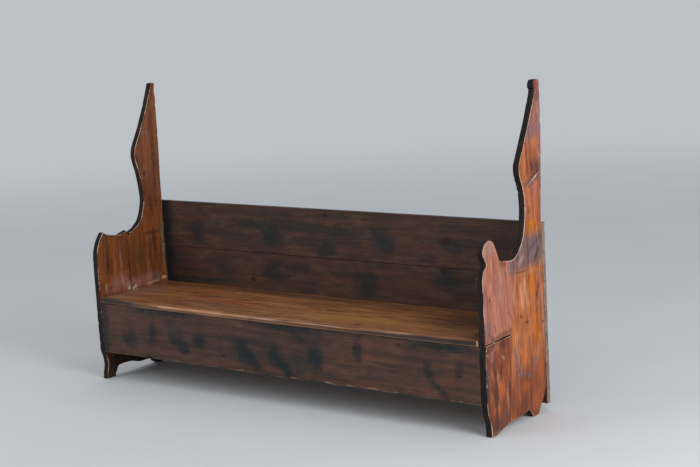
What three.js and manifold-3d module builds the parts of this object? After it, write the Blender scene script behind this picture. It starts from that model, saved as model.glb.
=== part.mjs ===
// Monks bench: an old pine settle with tall shaped plank ends and a lift-up seat over a chest.
// Millimetres. X runs along the bench, -Y is the front, +Z is up. The origin is on the floor,
// under the middle of the bench.

import * as THREE from 'three';
import { mergeVertices } from 'three/addons/utils/BufferGeometryUtils.js';
import Module from 'manifold-3d';

const wasm = await Module();
wasm.setup();

// Driving sizes of the whole bench
const BENCH_LENGTH = 2200;
const END_HEIGHT = 1401; // of the right end, the taller one
const LEFT_TIP_DROP = 9; // how far the left end falls short of it
const END_DEPTH = 470;
const END_THICKNESS = 32;
const ARM_HEIGHT = 684;
const SEAT_HEIGHT = 403;
const BACK_HEIGHT = 806;

// Fits
const BUTT_GAP = 0.3; // between boards that are nailed up tight
const NAIL_GAP = 0.3; // round a nail in its hole
const CUT_OVERRUN = 2; // how far a cutting tool passes the face that it cuts

// Feet: the arch under each end, and the worn heel and toe
const TOE_SET_BACK = 27;
const TOE_CURVE_HEIGHT = 150;
const ARCH_START = 62; // behind the front edge
const REAR_FOOT_LENGTH = 41;
const HEEL_SET_BACK = 74;
const HEEL_CURVE_HEIGHT = 160;
const RIGHT_ARCH_RISE = 37;
const LEFT_ARCH_RISE = 51;
const ARRIS = 2; // rounding of the worn edges of the ends

// Arms: a finger-shaped knob on the right end, and a low scroll on the left end
const KNOB_REACH = 168;
const KNOB_RISE = 116;
const SCROLL_REACH = 163;
const SCROLL_RISE = 28;
const LEFT_BUMP_RISE = 12; // where the left front plank stands above the rear plank

// Tall side posts: how far the rear edge leans back between the back boards and the tip
const RIGHT_FLARE = 23;
const LEFT_FLARE = 6;

// Planks of the ends
const LEFT_SEAM_AT_FLOOR = 205;
const LEFT_SEAM_AT_ARM = 222;
const RIGHT_SEAM_AT_FLOOR = 164;
const RIGHT_SEAM_AT_ARM = 235;
const SPLICE_HEIGHT = 384; // open joint between the right arm plank and leg plank
const SPLICE_RISE = 4;
const SPLICE_GAP = 5;
const SPLICE_CHIP_DEPTH = 9;
const SPLICE_CHIP_HEIGHT = 40;

// Seat plank, called the lid
const LID_THICKNESS = 28;
const LID_END_GAP = 3;
const LID_REAR_GAP = 3;
const LID_REST_GAP = 0.3; // between the lid and what it rests on
const LID_OVERHANG = 6; // past the front board, where the edge is worn
const LID_SQUARE_EDGE = 2; // edge radius at the ends of the lid
const LID_WORN_EDGE = 20; // edge radius in the middle of the lid
const LID_LOWER_EDGE = 3;

// Seat battens under the lid
const LID_BATTEN_WIDTH = 48;
const LID_BATTEN_THICKNESS = 22;
const LID_BATTEN_INSET = 90; // from the end of the lid
const LID_BATTEN_FRONT_GAP = 14; // behind the front board
const LID_BATTEN_REAR_GAP = 26; // in front of the hinge axis
const LID_BATTEN_NOSE = 16; // slope at each end of the batten

// Hinge pins
const PIN_RADIUS = 5;
const PIN_IN_LID = 42;
const PIN_GAP = 0.35;

// Front board
const FRONT_THICKNESS = 25;
const FRONT_CLEARANCE = 136; // its lower edge above the floor
const FRONT_RAGGED_DEPTH = 6;
const BOARD_ARRIS = 1.5;

// Back boards
const BACK_THICKNESS = 25;
const BACK_SEAM = 2;
const BACK_TOP_WIDTH = 226;
const BACK_MIDDLE_WIDTH = 250;
const BACK_CLEARANCE = 28;
const BACK_NAIL_EDGE = 48; // from a board's long edge to its nails

// Chest: bearers, floor battens, bottom boards and their cleat
const BEARER_WIDTH = 30;
const BEARER_HEIGHT = 40;
const BEARER_REAR_GAP = 12;
const FLOOR_BATTEN_RISE = 4; // above the front board's lower edge
const FLOOR_BATTEN_HEIGHT = 35;
const BOTTOM_BOARDS = 3;
const BOTTOM_THICKNESS = 20;
const BOTTOM_SEAM = 3;
const CLEAT_WIDTH = 60;
const CLEAT_THICKNESS = 22;
const CLEAT_END_GAP = 20;

// Nails, forged square in section
const NAIL_WIDTH = 4;
const NAIL_POINT_WIDTH = 1.2;
const NAIL_HEAD_WIDTH = 9;
const NAIL_HEAD_CROWN_WIDTH = 3;
const NAIL_HEAD_HEIGHT = 1.6;
const NAIL_SUNK = 1; // how deep the nails in the outer faces are punched in
const BACK_NAIL_LENGTH = 68;
const FRONT_NAIL_LENGTH = 72;
const BEARER_NAIL_LENGTH = 52;
const LID_NAIL_LENGTH = 40;
const SUNK_NAIL_HEAD_WIDTH = 6;

// Sizes that follow from those above
const TOTAL_DEPTH = LID_OVERHANG + END_DEPTH + BACK_THICKNESS + NAIL_HEAD_HEIGHT;
const FRONT_Y = LID_OVERHANG - TOTAL_DEPTH / 2; // front edges of the ends
const INNER_LENGTH = BENCH_LENGTH - 2 * END_THICKNESS;
const LID_UNDERSIDE = SEAT_HEIGHT - LID_THICKNESS;
const LID_LENGTH = INNER_LENGTH - 2 * LID_END_GAP;
const HINGE_Y = END_DEPTH - LID_REAR_GAP - LID_THICKNESS / 2;
const HINGE_Z = SEAT_HEIGHT - LID_THICKNESS / 2;
const CHEST_DEPTH = END_DEPTH - FRONT_THICKNESS;
const FLOOR_BATTEN_TOP = FRONT_CLEARANCE + FLOOR_BATTEN_RISE + FLOOR_BATTEN_HEIGHT;

// Finishes
const finish = (name, color, roughness, metalness = 0) =>
  new THREE.MeshStandardMaterial({ name, color, roughness, metalness });
const endPine = finish('end_pine', 0xa5622f, 0.5);
const seatPine = finish('seat_pine', 0x9a6433, 0.48);
const darkPine = finish('dark_pine', 0x55301d, 0.55);
const innerPine = finish('inner_pine', 0x7d5a3a, 0.75);
const iron = finish('iron', 0x2e2926, 0.7, 0.6);

// The bench group's own zero is the front edge of the ends, on the floor.
const bench = new THREE.Group();
bench.position.set(0, FRONT_Y, 0);

function add(name, geometry, material, x = 0, y = 0, z = 0) {
  const mesh = new THREE.Mesh(geometry, material);
  mesh.name = name;
  mesh.position.set(x, y, z);
  bench.add(mesh);
  return mesh;
}

// Cutting and joining of closed solids
function toSolid(geometry) {
  const bare = geometry.clone();
  for (const attribute of Object.keys(bare.attributes)) {
    if (attribute !== 'position') bare.deleteAttribute(attribute);
  }
  const merged = mergeVertices(bare);
  const index = merged.index.array;
  const triangles = [];
  for (let i = 0; i < index.length; i += 3) {
    const [a, b, c] = index.slice(i, i + 3);
    if (a !== b && b !== c && c !== a) triangles.push(a, b, c);
  }
  return new wasm.Manifold(
    new wasm.Mesh({
      numProp: 3,
      vertProperties: new Float32Array(merged.attributes.position.array),
      triVerts: new Uint32Array(triangles),
    }),
  );
}

function toGeometry(solid) {
  const mesh = solid.getMesh();
  const geometry = new THREE.BufferGeometry();
  geometry.setAttribute('position', new THREE.BufferAttribute(mesh.vertProperties, mesh.numProp));
  geometry.setIndex(new THREE.BufferAttribute(mesh.triVerts, 1));
  return geometry;
}

// Bores a board for fasteners that carry the shape of their own hole.
function drill(board, fasteners) {
  board.updateWorldMatrix(true, false);
  const toBoard = board.matrixWorld.clone().invert();
  let solid = toSolid(board.geometry);
  for (const fastener of fasteners) {
    fastener.updateWorldMatrix(true, false);
    const tool = fastener.userData.hole.clone().applyMatrix4(fastener.matrixWorld).applyMatrix4(toBoard);
    solid = solid.subtract(toSolid(tool));
  }
  board.geometry = toGeometry(solid);
}

// A section drawn across the bench, Y to the right and Z up, pushed out along X.
const acrossToLengthwise = new THREE.Matrix4().makeBasis(
  new THREE.Vector3(0, 1, 0),
  new THREE.Vector3(0, 0, 1),
  new THREE.Vector3(1, 0, 0),
);

function pushAlongX(shape, depth, arris = 0) {
  const geometry = new THREE.ExtrudeGeometry(shape, {
    depth: depth - 2 * arris,
    bevelEnabled: arris > 0,
    bevelSize: arris,
    bevelThickness: arris,
    bevelOffset: -arris,
    bevelSegments: 2,
    curveSegments: 5,
  });
  return geometry.translate(0, 0, arris).applyMatrix4(acrossToLengthwise);
}

function polygon(points) {
  return new THREE.Shape(points.map(([x, y]) => new THREE.Vector2(x, y)));
}

// A sawn board's section with its long edges eased: width along Y, height along Z, from its corner
function boardSection(width, height, radius = BOARD_ARRIS) {
  const shape = new THREE.Shape();
  shape.moveTo(radius, 0);
  shape.lineTo(width - radius, 0);
  shape.absarc(width - radius, radius, radius, -Math.PI / 2, 0);
  shape.lineTo(width, height - radius);
  shape.absarc(width - radius, height - radius, radius, 0, Math.PI / 2);
  shape.lineTo(radius, height);
  shape.absarc(radius, height - radius, radius, Math.PI / 2, Math.PI);
  shape.lineTo(0, radius);
  shape.absarc(radius, radius, radius, Math.PI, Math.PI * 1.5);
  return shape;
}

function pushSection(section, length) {
  const settings = { depth: length, bevelEnabled: false, curveSegments: 3 };
  return new THREE.ExtrudeGeometry(section, settings).applyMatrix4(acrossToLengthwise);
}

function boardAlongX(name, length, width, height, material, y, z) {
  const geometry = pushSection(boardSection(width, height), length);
  geometry.translate(-length / 2, 0, 0);
  return add(name, geometry, material, 0, y, z);
}

// Nail: a four-sided spindle with its head above Y = 0 and its point below. The hole is the same
// spindle with the gap added, open at the top.
function spindle(profile) {
  const half = (width) => (width / 2) * Math.SQRT2;
  const points = profile.map(([width, y]) => new THREE.Vector2(half(width), y));
  return new THREE.LatheGeometry(points, 4, Math.PI / 4);
}

function nail(name, length, place, turn, sunk = 0) {
  const headWidth = sunk > 0 ? SUNK_NAIL_HEAD_WIDTH : NAIL_HEAD_WIDTH;
  const top = sunk > 0 ? -sunk : NAIL_HEAD_HEIGHT;
  const neck = top - NAIL_HEAD_HEIGHT;
  const mesh = add(
    name,
    spindle([
      [0, -length],
      [NAIL_POINT_WIDTH, -length],
      [NAIL_WIDTH, neck - length / 3],
      [NAIL_WIDTH, neck],
      [headWidth, neck],
      [NAIL_HEAD_CROWN_WIDTH, top],
      [0, top],
    ]),
    iron,
    ...place,
  );
  mesh.rotation.set(...turn);
  const wide = (width) => width + 2 * NAIL_GAP;
  const mouth = sunk > 0 ? wide(headWidth) : wide(NAIL_WIDTH);
  mesh.userData.hole = spindle([
    [0, -length - NAIL_GAP],
    [wide(NAIL_POINT_WIDTH), -length - NAIL_GAP],
    [wide(NAIL_WIDTH), neck - length / 3],
    [wide(NAIL_WIDTH), sunk > 0 ? neck - NAIL_GAP : 0],
    [mouth, sunk > 0 ? neck - NAIL_GAP : 0],
    [mouth, CUT_OVERRUN],
    [0, CUT_OVERRUN],
  ]);
  return mesh;
}

// Ways to drive a nail: the head's side is named first
const fromBehind = [0, 0, 0];
const fromBelow = [-Math.PI / 2, 0, 0];
const fromRight = [0, 0, -Math.PI / 2];
const fromLeft = [0, 0, Math.PI / 2];

// Outline of an end, counter-clockwise from the toe, seen with the front on the left. The arch shares are
// of the arch's length and rise, the flare shares of the flare and of the height above the back boards,
// the neck shares of the end's depth and of its height above the arm, the arm shares of the arm's reach
// and rise, and the toe shares of the toe's set-back and curve height. Lines next to a sharp corner are
// straight, so that the rounding of the edges has room there.
const flareShares = [[0.1, 0.12], [0.57, 0.36], [0.92, 0.6], [1, 0.85], [1, 1]];
const rightForm = {
  height: END_HEIGHT,
  flare: RIGHT_FLARE,
  archRise: RIGHT_ARCH_RISE,
  archShares: [[0.07, 0.2], [0.28, 0.56], [0.37, 0.7], [0.62, 0.79], [0.755, 0.865], [0.91, 1]],
  neckShares: [
    [0.98, 1], [0.962, 0.994], [0.943, 0.975], [0.944, 0.953], [0.96, 0.933], [0.91, 0.855], [0.827, 0.743],
    [0.743, 0.639], [0.676, 0.558], [0.655, 0.53], [0.6535, 0.49], [0.668, 0.455], [0.702, 0.405],
    [0.726, 0.33], [0.722, 0.222], [0.68, 0.1165], [0.62, 0.061], [0.548, 0.022], [0.468, 0.009],
  ],
  armReach: KNOB_REACH,
  armRise: KNOB_RISE,
  armShares: [
    [1, 0.129], [0.893, 0.155], [0.798, 0.198], [0.708, 0.405], [0.613, 0.707], [0.476, 0.94], [0.3, 1],
    [0.173, 0.922], [0.083, 0.75], [0.056, 0.578], [0.11, 0.414], [0.19, 0.233], [0.175, 0.121],
    [0.08, 0.026], [0.03, -0.138], [0, -0.38],
  ],
  toeShares: [[0.03, 0.88], [0.15, 0.7], [0.48, 0.53], [0.8, 0.37], [0.96, 0.17], [1, 0]],
};
const leftForm = {
  height: END_HEIGHT - LEFT_TIP_DROP,
  flare: LEFT_FLARE,
  archRise: LEFT_ARCH_RISE,
  archShares: [
    [0.02, 0.31], [0.06, 0.75], [0.1, 0.95], [0.21, 1], [0.3, 0.99], [0.4, 0.96], [0.5, 0.78], [0.58, 0.66],
    [0.72, 0.64], [0.86, 0.65], [0.9, 0.55], [0.94, 0.2],
  ],
  neckShares: [
    [0.972, 1], [0.958, 0.99], [0.945, 0.962], [0.872, 0.843], [0.768, 0.7], [0.672, 0.583], [0.654, 0.545],
    [0.648, 0.508], [0.66, 0.465], [0.697, 0.382], [0.73, 0.227], [0.718, 0.16], [0.669, 0.074],
    [0.604, 0.034], [0.56, 0.016], [0.49, 0],
  ],
  bumpRise: LEFT_BUMP_RISE,
  bumpShare: 0.455,
  armReach: SCROLL_REACH,
  armRise: SCROLL_RISE,
  armShares: [
    [1, -0.1], [0.71, 0.2], [0.485, 0.57], [0.38, 0.96], [0.31, 0.93], [0.25, 0.45], [0.18, -0.1],
    [0.117, -0.75], [0.055, -1.7], [0.018, -2.8], [0, -4.3],
  ],
  toeShares: [[0.15, 0.88], [0.45, 0.74], [0.62, 0.6], [0.67, 0.43], [0.41, 0.21], [0.26, 0]],
};

function endShape(form) {
  const heel = END_DEPTH - HEEL_SET_BACK;
  const archEnd = heel - REAR_FOOT_LENGTH;
  const above = form.height - BACK_HEIGHT;
  const neckRise = form.height - ARM_HEIGHT;
  const places = (shares, x, width, z, height) =>
    shares.map(([a, b]) => new THREE.Vector2(x + a * width, z + b * height));
  const arch = places(form.archShares, ARCH_START, archEnd - ARCH_START, 0, form.archRise);
  const neck = places(form.neckShares, 0, END_DEPTH, ARM_HEIGHT, neckRise);
  const arm = places(form.armShares, 0, form.armReach, ARM_HEIGHT, form.armRise);
  const toe = places(form.toeShares, 0, TOE_SET_BACK, 0, TOE_CURVE_HEIGHT);
  const shape = new THREE.Shape();
  shape.moveTo(toe.at(-1).x, 0);
  shape.lineTo(ARCH_START, 0);
  shape.lineTo(arch[0].x, arch[0].y);
  shape.splineThru(arch.slice(1));
  shape.lineTo(archEnd, 0);
  shape.lineTo(heel, 0);
  shape.quadraticCurveTo(END_DEPTH, HEEL_CURVE_HEIGHT / 2, END_DEPTH, HEEL_CURVE_HEIGHT);
  shape.lineTo(END_DEPTH, BACK_HEIGHT);
  shape.splineThru(places(flareShares, END_DEPTH, form.flare, BACK_HEIGHT, above));
  shape.lineTo(neck[0].x, neck[0].y);
  shape.splineThru(neck.slice(1));
  if (form.bumpRise) {
    shape.lineTo(form.bumpShare * END_DEPTH, ARM_HEIGHT + form.bumpRise);
  }
  shape.lineTo(arm[0].x, arm[0].y);
  shape.splineThru(arm.slice(1));
  shape.lineTo(0, TOE_CURVE_HEIGHT);
  shape.splineThru(toe.slice(0, -1));
  return shape;
}

// Cuts an end into its planks. The seam leans, so it is given at the floor and at the arm.
function plankOf(end, regionPoints) {
  const tool = pushAlongX(polygon(regionPoints), END_THICKNESS + 2 * CUT_OVERRUN);
  return toGeometry(toSolid(end).intersect(toSolid(tool.translate(-CUT_OVERRUN, 0, 0))));
}

function seamAt(height, atFloor, atArm) {
  return atFloor + ((atArm - atFloor) * height) / ARM_HEIGHT;
}

function rearRegion(atFloor, atArm) {
  const top = END_HEIGHT + CUT_OVERRUN;
  const rear = END_DEPTH + Math.max(LEFT_FLARE, RIGHT_FLARE) + CUT_OVERRUN;
  return [
    [seamAt(-CUT_OVERRUN, atFloor, atArm) + BUTT_GAP, -CUT_OVERRUN],
    [rear, -CUT_OVERRUN],
    [rear, top],
    [seamAt(top, atFloor, atArm) + BUTT_GAP, top],
  ];
}

function frontRegion(atFloor, atArm, bottom, bottomAtSeam, top, topAtSeam) {
  return [
    [-CUT_OVERRUN, bottom],
    [seamAt(bottomAtSeam, atFloor, atArm), bottomAtSeam],
    [seamAt(topAtSeam, atFloor, atArm), topAtSeam],
    [-CUT_OVERRUN, top],
  ];
}

const leftX = -BENCH_LENGTH / 2;
const rightX = BENCH_LENGTH / 2 - END_THICKNESS;
const topOfAll = END_HEIGHT + CUT_OVERRUN;

const leftEnd = pushAlongX(endShape(leftForm), END_THICKNESS, ARRIS);
const leftSeam = [LEFT_SEAM_AT_FLOOR, LEFT_SEAM_AT_ARM];
const leftFrontRegion = frontRegion(...leftSeam, -CUT_OVERRUN, -CUT_OVERRUN, topOfAll, topOfAll);
const endLeftFront = add('end_left_front', plankOf(leftEnd, leftFrontRegion), endPine, leftX);
const endLeftRear = add('end_left_rear', plankOf(leftEnd, rearRegion(...leftSeam)), endPine, leftX);

const rightEnd = pushAlongX(endShape(rightForm), END_THICKNESS, ARRIS);
const rightSeam = [RIGHT_SEAM_AT_FLOOR, RIGHT_SEAM_AT_ARM];
const spliceTop = SPLICE_HEIGHT + SPLICE_GAP / 2;
const spliceBottom = SPLICE_HEIGHT - SPLICE_GAP / 2;
const armRegion = frontRegion(...rightSeam, spliceTop, spliceTop + SPLICE_RISE, topOfAll, topOfAll);
const legTopAtSeam = spliceBottom + SPLICE_RISE;
const legRegion = frontRegion(...rightSeam, -CUT_OVERRUN, -CUT_OVERRUN, spliceBottom, legTopAtSeam);
legRegion.splice(3, 1, [SPLICE_CHIP_DEPTH, spliceBottom], [0, spliceBottom - SPLICE_CHIP_HEIGHT],
  [-CUT_OVERRUN, spliceBottom - SPLICE_CHIP_HEIGHT]);
const endRightArm = add('end_right_arm', plankOf(rightEnd, armRegion), endPine, rightX);
const endRightLeg = add('end_right_leg', plankOf(rightEnd, legRegion), endPine, rightX);
const endRightRear = add('end_right_rear', plankOf(rightEnd, rearRegion(...rightSeam)), endPine, rightX);

// Back boards, nailed to the rear edges of the ends
const backTopFoot = BACK_HEIGHT - BACK_TOP_WIDTH;
const backMiddleTop = backTopFoot - BACK_SEAM;
const backMiddleFoot = backMiddleTop - BACK_MIDDLE_WIDTH;
const backBottomTop = backMiddleFoot - BACK_SEAM;
const backRows = [
  ['back_top', backTopFoot, BACK_HEIGHT],
  ['back_middle', backMiddleFoot, backMiddleTop],
  ['back_bottom', BACK_CLEARANCE, backBottomTop],
];
const backNailX = (BENCH_LENGTH - END_THICKNESS) / 2;
let backNailCount = 0;
const leftBackNails = [];
const rightBackNails = [];
for (const [name, foot, top] of backRows) {
  const board = boardAlongX(
    name, BENCH_LENGTH, BACK_THICKNESS, top - foot, darkPine, END_DEPTH, foot,
  );
  const lowNail = Math.max(foot + BACK_NAIL_EDGE, HEEL_CURVE_HEIGHT); // above the cut-back heel
  for (const z of [lowNail, top - BACK_NAIL_EDGE]) {
    backNailCount += 1;
    const y = END_DEPTH + BACK_THICKNESS;
    const left = nail('back_nail_left_' + backNailCount, BACK_NAIL_LENGTH, [-backNailX, y, z], fromBehind);
    const right = nail('back_nail_right_' + backNailCount, BACK_NAIL_LENGTH, [backNailX, y, z], fromBehind);
    leftBackNails.push(left);
    rightBackNails.push(right);
    drill(board, [left, right]);
  }
}

// Front board, let in between the ends, its lower edge split and chipped. The shares are of its length
// and of the ragged depth.
const raggedShares = [
  [0, 0], [0.1, 0.1], [0.128, 0.05], [0.134, 1], [0.146, 0.9], [0.15, 0.15], [0.2, 0], [0.235, 0.35],
  [0.262, 0.1], [0.33, 0.25], [0.345, 0.6], [0.37, 0.55], [0.385, 0.1], [0.47, 0.3], [0.5, 0], [0.58, 0.2],
  [0.592, 0.7], [0.63, 0.5], [0.65, 0.1], [0.72, 0.35], [0.78, 0.05], [0.8, 0.45], [0.845, 0.3], [0.87, 0],
  [0.93, 0.3], [1, 0.1],
];
const frontLength = INNER_LENGTH - 2 * BUTT_GAP;
const frontTop = LID_UNDERSIDE - LID_REST_GAP;
const frontShape = polygon([
  ...raggedShares.map(([a, b]) => [(a - 0.5) * frontLength, FRONT_CLEARANCE + b * FRONT_RAGGED_DEPTH]),
  [frontLength / 2, frontTop],
  [-frontLength / 2, frontTop],
]);
const frontGeometry = new THREE.ExtrudeGeometry(frontShape, {
  depth: FRONT_THICKNESS - 2 * BOARD_ARRIS,
  bevelSize: BOARD_ARRIS,
  bevelThickness: BOARD_ARRIS,
  bevelOffset: -BOARD_ARRIS,
  bevelSegments: 1,
});
frontGeometry.translate(0, 0, BOARD_ARRIS).rotateX(Math.PI / 2);
const frontBoard = add('front_board', frontGeometry, darkPine, 0, FRONT_THICKNESS);
const frontNailShares = [0.14, 0.5, 0.86];
const leftFrontNails = [];
const rightFrontNails = [];
frontNailShares.forEach((share, i) => {
  const z = FRONT_CLEARANCE + share * (frontTop - FRONT_CLEARANCE);
  const place = (x) => [x, FRONT_THICKNESS / 2, z];
  const left = nail('front_nail_left_' + (i + 1), FRONT_NAIL_LENGTH, place(leftX), fromLeft, NAIL_SUNK);
  const right = nail(
    'front_nail_right_' + (i + 1), FRONT_NAIL_LENGTH, place(rightX + END_THICKNESS), fromRight, NAIL_SUNK,
  );
  leftFrontNails.push(left);
  rightFrontNails.push(right);
});
drill(frontBoard, [...leftFrontNails, ...rightFrontNails]);

// Strips nailed inside the ends: the seat bearers under the lid, and the floor battens under the
// bottom boards. Each one crosses the seam of the end's planks and ties them together.
const stripLength = CHEST_DEPTH - BUTT_GAP - BEARER_REAR_GAP;
const stripNailShares = [0.2, 0.66, 0.9];

function endStrip(name, side, height, top) {
  const geometry = pushSection(boardSection(stripLength, height), BEARER_WIDTH);
  const inner = side * (INNER_LENGTH / 2 - BUTT_GAP - BEARER_WIDTH);
  const start = side < 0 ? inner - BEARER_WIDTH : inner;
  const strip = add(name, geometry, innerPine, start, FRONT_THICKNESS + BUTT_GAP, top - height);
  const nails = stripNailShares.map((share, i) =>
    nail(
      name + '_nail_' + (i + 1),
      BEARER_NAIL_LENGTH,
      [inner, FRONT_THICKNESS + share * stripLength, top - height / 2],
      side < 0 ? fromRight : fromLeft,
    ),
  );
  drill(strip, nails);
  return nails;
}

const leftStripNails = [
  ...endStrip('seat_bearer_left', -1, BEARER_HEIGHT, frontTop),
  ...endStrip('floor_batten_left', -1, FLOOR_BATTEN_HEIGHT, FLOOR_BATTEN_TOP),
];
const rightStripNails = [
  ...endStrip('seat_bearer_right', 1, BEARER_HEIGHT, frontTop),
  ...endStrip('floor_batten_right', 1, FLOOR_BATTEN_HEIGHT, FLOOR_BATTEN_TOP),
];

// Bottom boards, loose on the floor battens, with a cleat under their middle
const bottomLength = INNER_LENGTH - 2 * LID_END_GAP;
const bottomWidth = (CHEST_DEPTH - (BOTTOM_BOARDS + 1) * BOTTOM_SEAM) / BOTTOM_BOARDS;
const bottomZ = FLOOR_BATTEN_TOP + BUTT_GAP;
for (let i = 0; i < BOTTOM_BOARDS; i++) {
  const y = FRONT_THICKNESS + BOTTOM_SEAM + i * (bottomWidth + BOTTOM_SEAM);
  boardAlongX('bottom_board_' + (i + 1), bottomLength, bottomWidth, BOTTOM_THICKNESS, innerPine, y, bottomZ);
}
const cleatLength = CHEST_DEPTH - 2 * CLEAT_END_GAP;
boardAlongX(
  'bottom_cleat', CLEAT_WIDTH, cleatLength, CLEAT_THICKNESS, innerPine,
  FRONT_THICKNESS + CLEAT_END_GAP, bottomZ - BUTT_GAP - CLEAT_THICKNESS,
);

// Hinge pins, driven through the ends into the rear corners of the lid
const pinLength = END_THICKNESS + LID_END_GAP + PIN_IN_LID;

function hingePin(name, side) {
  const mesh = add(
    name,
    new THREE.CylinderGeometry(PIN_RADIUS, PIN_RADIUS, pinLength, 24),
    iron,
    (side * (BENCH_LENGTH - pinLength)) / 2,
    HINGE_Y,
    HINGE_Z,
  );
  mesh.rotation.z = -side * (Math.PI / 2);
  const holeRadius = PIN_RADIUS + PIN_GAP;
  const holeLength = pinLength + PIN_GAP + CUT_OVERRUN;
  mesh.userData.hole = new THREE.CylinderGeometry(holeRadius, holeRadius, holeLength, 24);
  mesh.userData.hole.translate(0, (CUT_OVERRUN - PIN_GAP) / 2, 0);
  return mesh;
}

const leftPin = hingePin('hinge_pin_left', -1);
const rightPin = hingePin('hinge_pin_right', 1);

// Lid: one wide plank, lofted from end to end. Its rear edge is a half round about the hinge axis, and
// its front edge is worn round in the middle and square near the ends. The shares are of the lid's
// length, of the full wear and of the full overhang.
const lidEdgeShares = [
  [0, 0, -0.8], [0.03, 0, -0.75], [0.075, 0.06, -0.6], [0.09, 0.35, 0.1], [0.11, 0.72, 0.6],
  [0.16, 0.93, 0.9], [0.28, 1, 1], [0.5, 0.95, 0.97], [0.7, 0.9, 0.9], [0.82, 0.62, 0.7],
  [0.88, 0.3, 0.55], [0.93, 0.1, 0.4], [0.97, 0, 0.2], [1, 0, 0.1],
];

function arcPoints(cy, cz, radius, from, to, steps) {
  return Array.from({ length: steps + 1 }, (_, i) => {
    const angle = from + ((to - from) * i) / steps;
    return [cy + radius * Math.cos(angle), cz + radius * Math.sin(angle)];
  });
}

function lidRing(wear, overhang) {
  const radius = LID_SQUARE_EDGE + wear * (LID_WORN_EDGE - LID_SQUARE_EDGE);
  const front = -overhang * LID_OVERHANG;
  const half = LID_THICKNESS / 2;
  return [
    ...arcPoints(HINGE_Y, half, half, -Math.PI / 2, Math.PI / 2, 14),
    ...arcPoints(front + radius, LID_THICKNESS - radius, radius, Math.PI / 2, Math.PI, 6),
    ...arcPoints(front + LID_LOWER_EDGE, LID_LOWER_EDGE, LID_LOWER_EDGE, Math.PI, Math.PI * 1.5, 2),
  ];
}

function loftAlongX(stations) {
  const size = stations[0].ring.length;
  const positions = [];
  const index = [];
  for (const { x, ring } of stations) {
    for (const [y, z] of ring) positions.push(x, y, z);
  }
  for (let s = 0; s + 1 < stations.length; s++) {
    for (let i = 0; i < size; i++) {
      const a = s * size + i;
      const b = s * size + ((i + 1) % size);
      index.push(a, b, b + size, a, b + size, a + size);
    }
  }
  const last = (stations.length - 1) * size;
  for (let i = 1; i + 1 < size; i++) {
    index.push(0, i + 1, i);
    index.push(last, last + i, last + i + 1);
  }
  const geometry = new THREE.BufferGeometry();
  geometry.setAttribute('position', new THREE.Float32BufferAttribute(positions, 3));
  geometry.setIndex(index);
  return geometry;
}

const lid = add(
  'seat_lid',
  loftAlongX(
    lidEdgeShares.map(([along, wear, overhang]) => ({
      x: (along - 0.5) * LID_LENGTH,
      ring: lidRing(wear, overhang),
    })),
  ),
  seatPine,
  0,
  0,
  LID_UNDERSIDE,
);

// Battens across the underside of the lid, with sloped noses
const lidBattenStart = FRONT_THICKNESS + LID_BATTEN_FRONT_GAP;
const lidBattenLength = HINGE_Y - LID_BATTEN_REAR_GAP - lidBattenStart;
const lidNailShares = [0.12, 0.5, 0.88];

function lidBatten(name, side) {
  const shape = polygon([
    [LID_BATTEN_NOSE, 0],
    [lidBattenLength - LID_BATTEN_NOSE, 0],
    [lidBattenLength, LID_BATTEN_THICKNESS],
    [0, LID_BATTEN_THICKNESS],
  ]);
  const middle = side * (LID_LENGTH / 2 - LID_BATTEN_INSET - LID_BATTEN_WIDTH / 2);
  const foot = LID_UNDERSIDE - BUTT_GAP - LID_BATTEN_THICKNESS;
  const batten = add(
    name,
    pushAlongX(shape, LID_BATTEN_WIDTH),
    innerPine,
    middle - LID_BATTEN_WIDTH / 2,
    lidBattenStart,
    foot,
  );
  const nails = lidNailShares.map((share, i) =>
    nail(
      name + '_nail_' + (i + 1),
      LID_NAIL_LENGTH,
      [middle, lidBattenStart + share * lidBattenLength, foot],
      fromBelow,
    ),
  );
  drill(batten, nails);
  return nails;
}

const lidNails = [...lidBatten('lid_batten_left', -1), ...lidBatten('lid_batten_right', 1)];

drill(lid, [leftPin, rightPin, ...lidNails]);
drill(endLeftFront, [...leftFrontNails, ...leftStripNails]);
drill(endLeftRear, [...leftStripNails, ...leftBackNails, leftPin]);
drill(endRightLeg, [...rightFrontNails, ...rightStripNails]);
drill(endRightArm, [...rightFrontNails, ...rightStripNails]);
drill(endRightRear, [...rightStripNails, ...rightBackNails, rightPin]);

export default bench;
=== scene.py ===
"""An old pine monks bench: shaped plank ends, nailed back boards and a lift-up seat over a chest."""

import math
import random

import bmesh
import bpy
from mathutils import Matrix, Vector, kdtree, noise


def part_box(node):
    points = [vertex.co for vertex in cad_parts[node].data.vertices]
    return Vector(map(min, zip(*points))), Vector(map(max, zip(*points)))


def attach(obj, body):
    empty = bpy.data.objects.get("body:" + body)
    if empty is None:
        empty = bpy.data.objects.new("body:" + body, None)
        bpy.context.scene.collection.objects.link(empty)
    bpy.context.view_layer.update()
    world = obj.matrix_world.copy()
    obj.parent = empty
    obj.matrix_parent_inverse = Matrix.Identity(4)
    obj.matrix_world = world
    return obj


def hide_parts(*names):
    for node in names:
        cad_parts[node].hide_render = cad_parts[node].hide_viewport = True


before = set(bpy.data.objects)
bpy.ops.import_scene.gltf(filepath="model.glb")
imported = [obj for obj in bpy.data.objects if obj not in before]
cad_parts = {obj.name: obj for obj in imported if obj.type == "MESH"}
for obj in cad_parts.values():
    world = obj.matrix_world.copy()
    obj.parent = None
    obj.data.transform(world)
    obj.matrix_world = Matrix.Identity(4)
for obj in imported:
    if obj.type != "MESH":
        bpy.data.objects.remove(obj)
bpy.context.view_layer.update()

# Plank ends
# Each end is sawn from wide pine planks set on edge, with the grain running up: leg, arm and tall side
# post in one. Outside they are bleached to pink and honey, inside they are waxed orange brown, and
# every sawn edge has a pale rubbed arris. The sawn edge faces are painted near black as painted shade.


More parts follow.
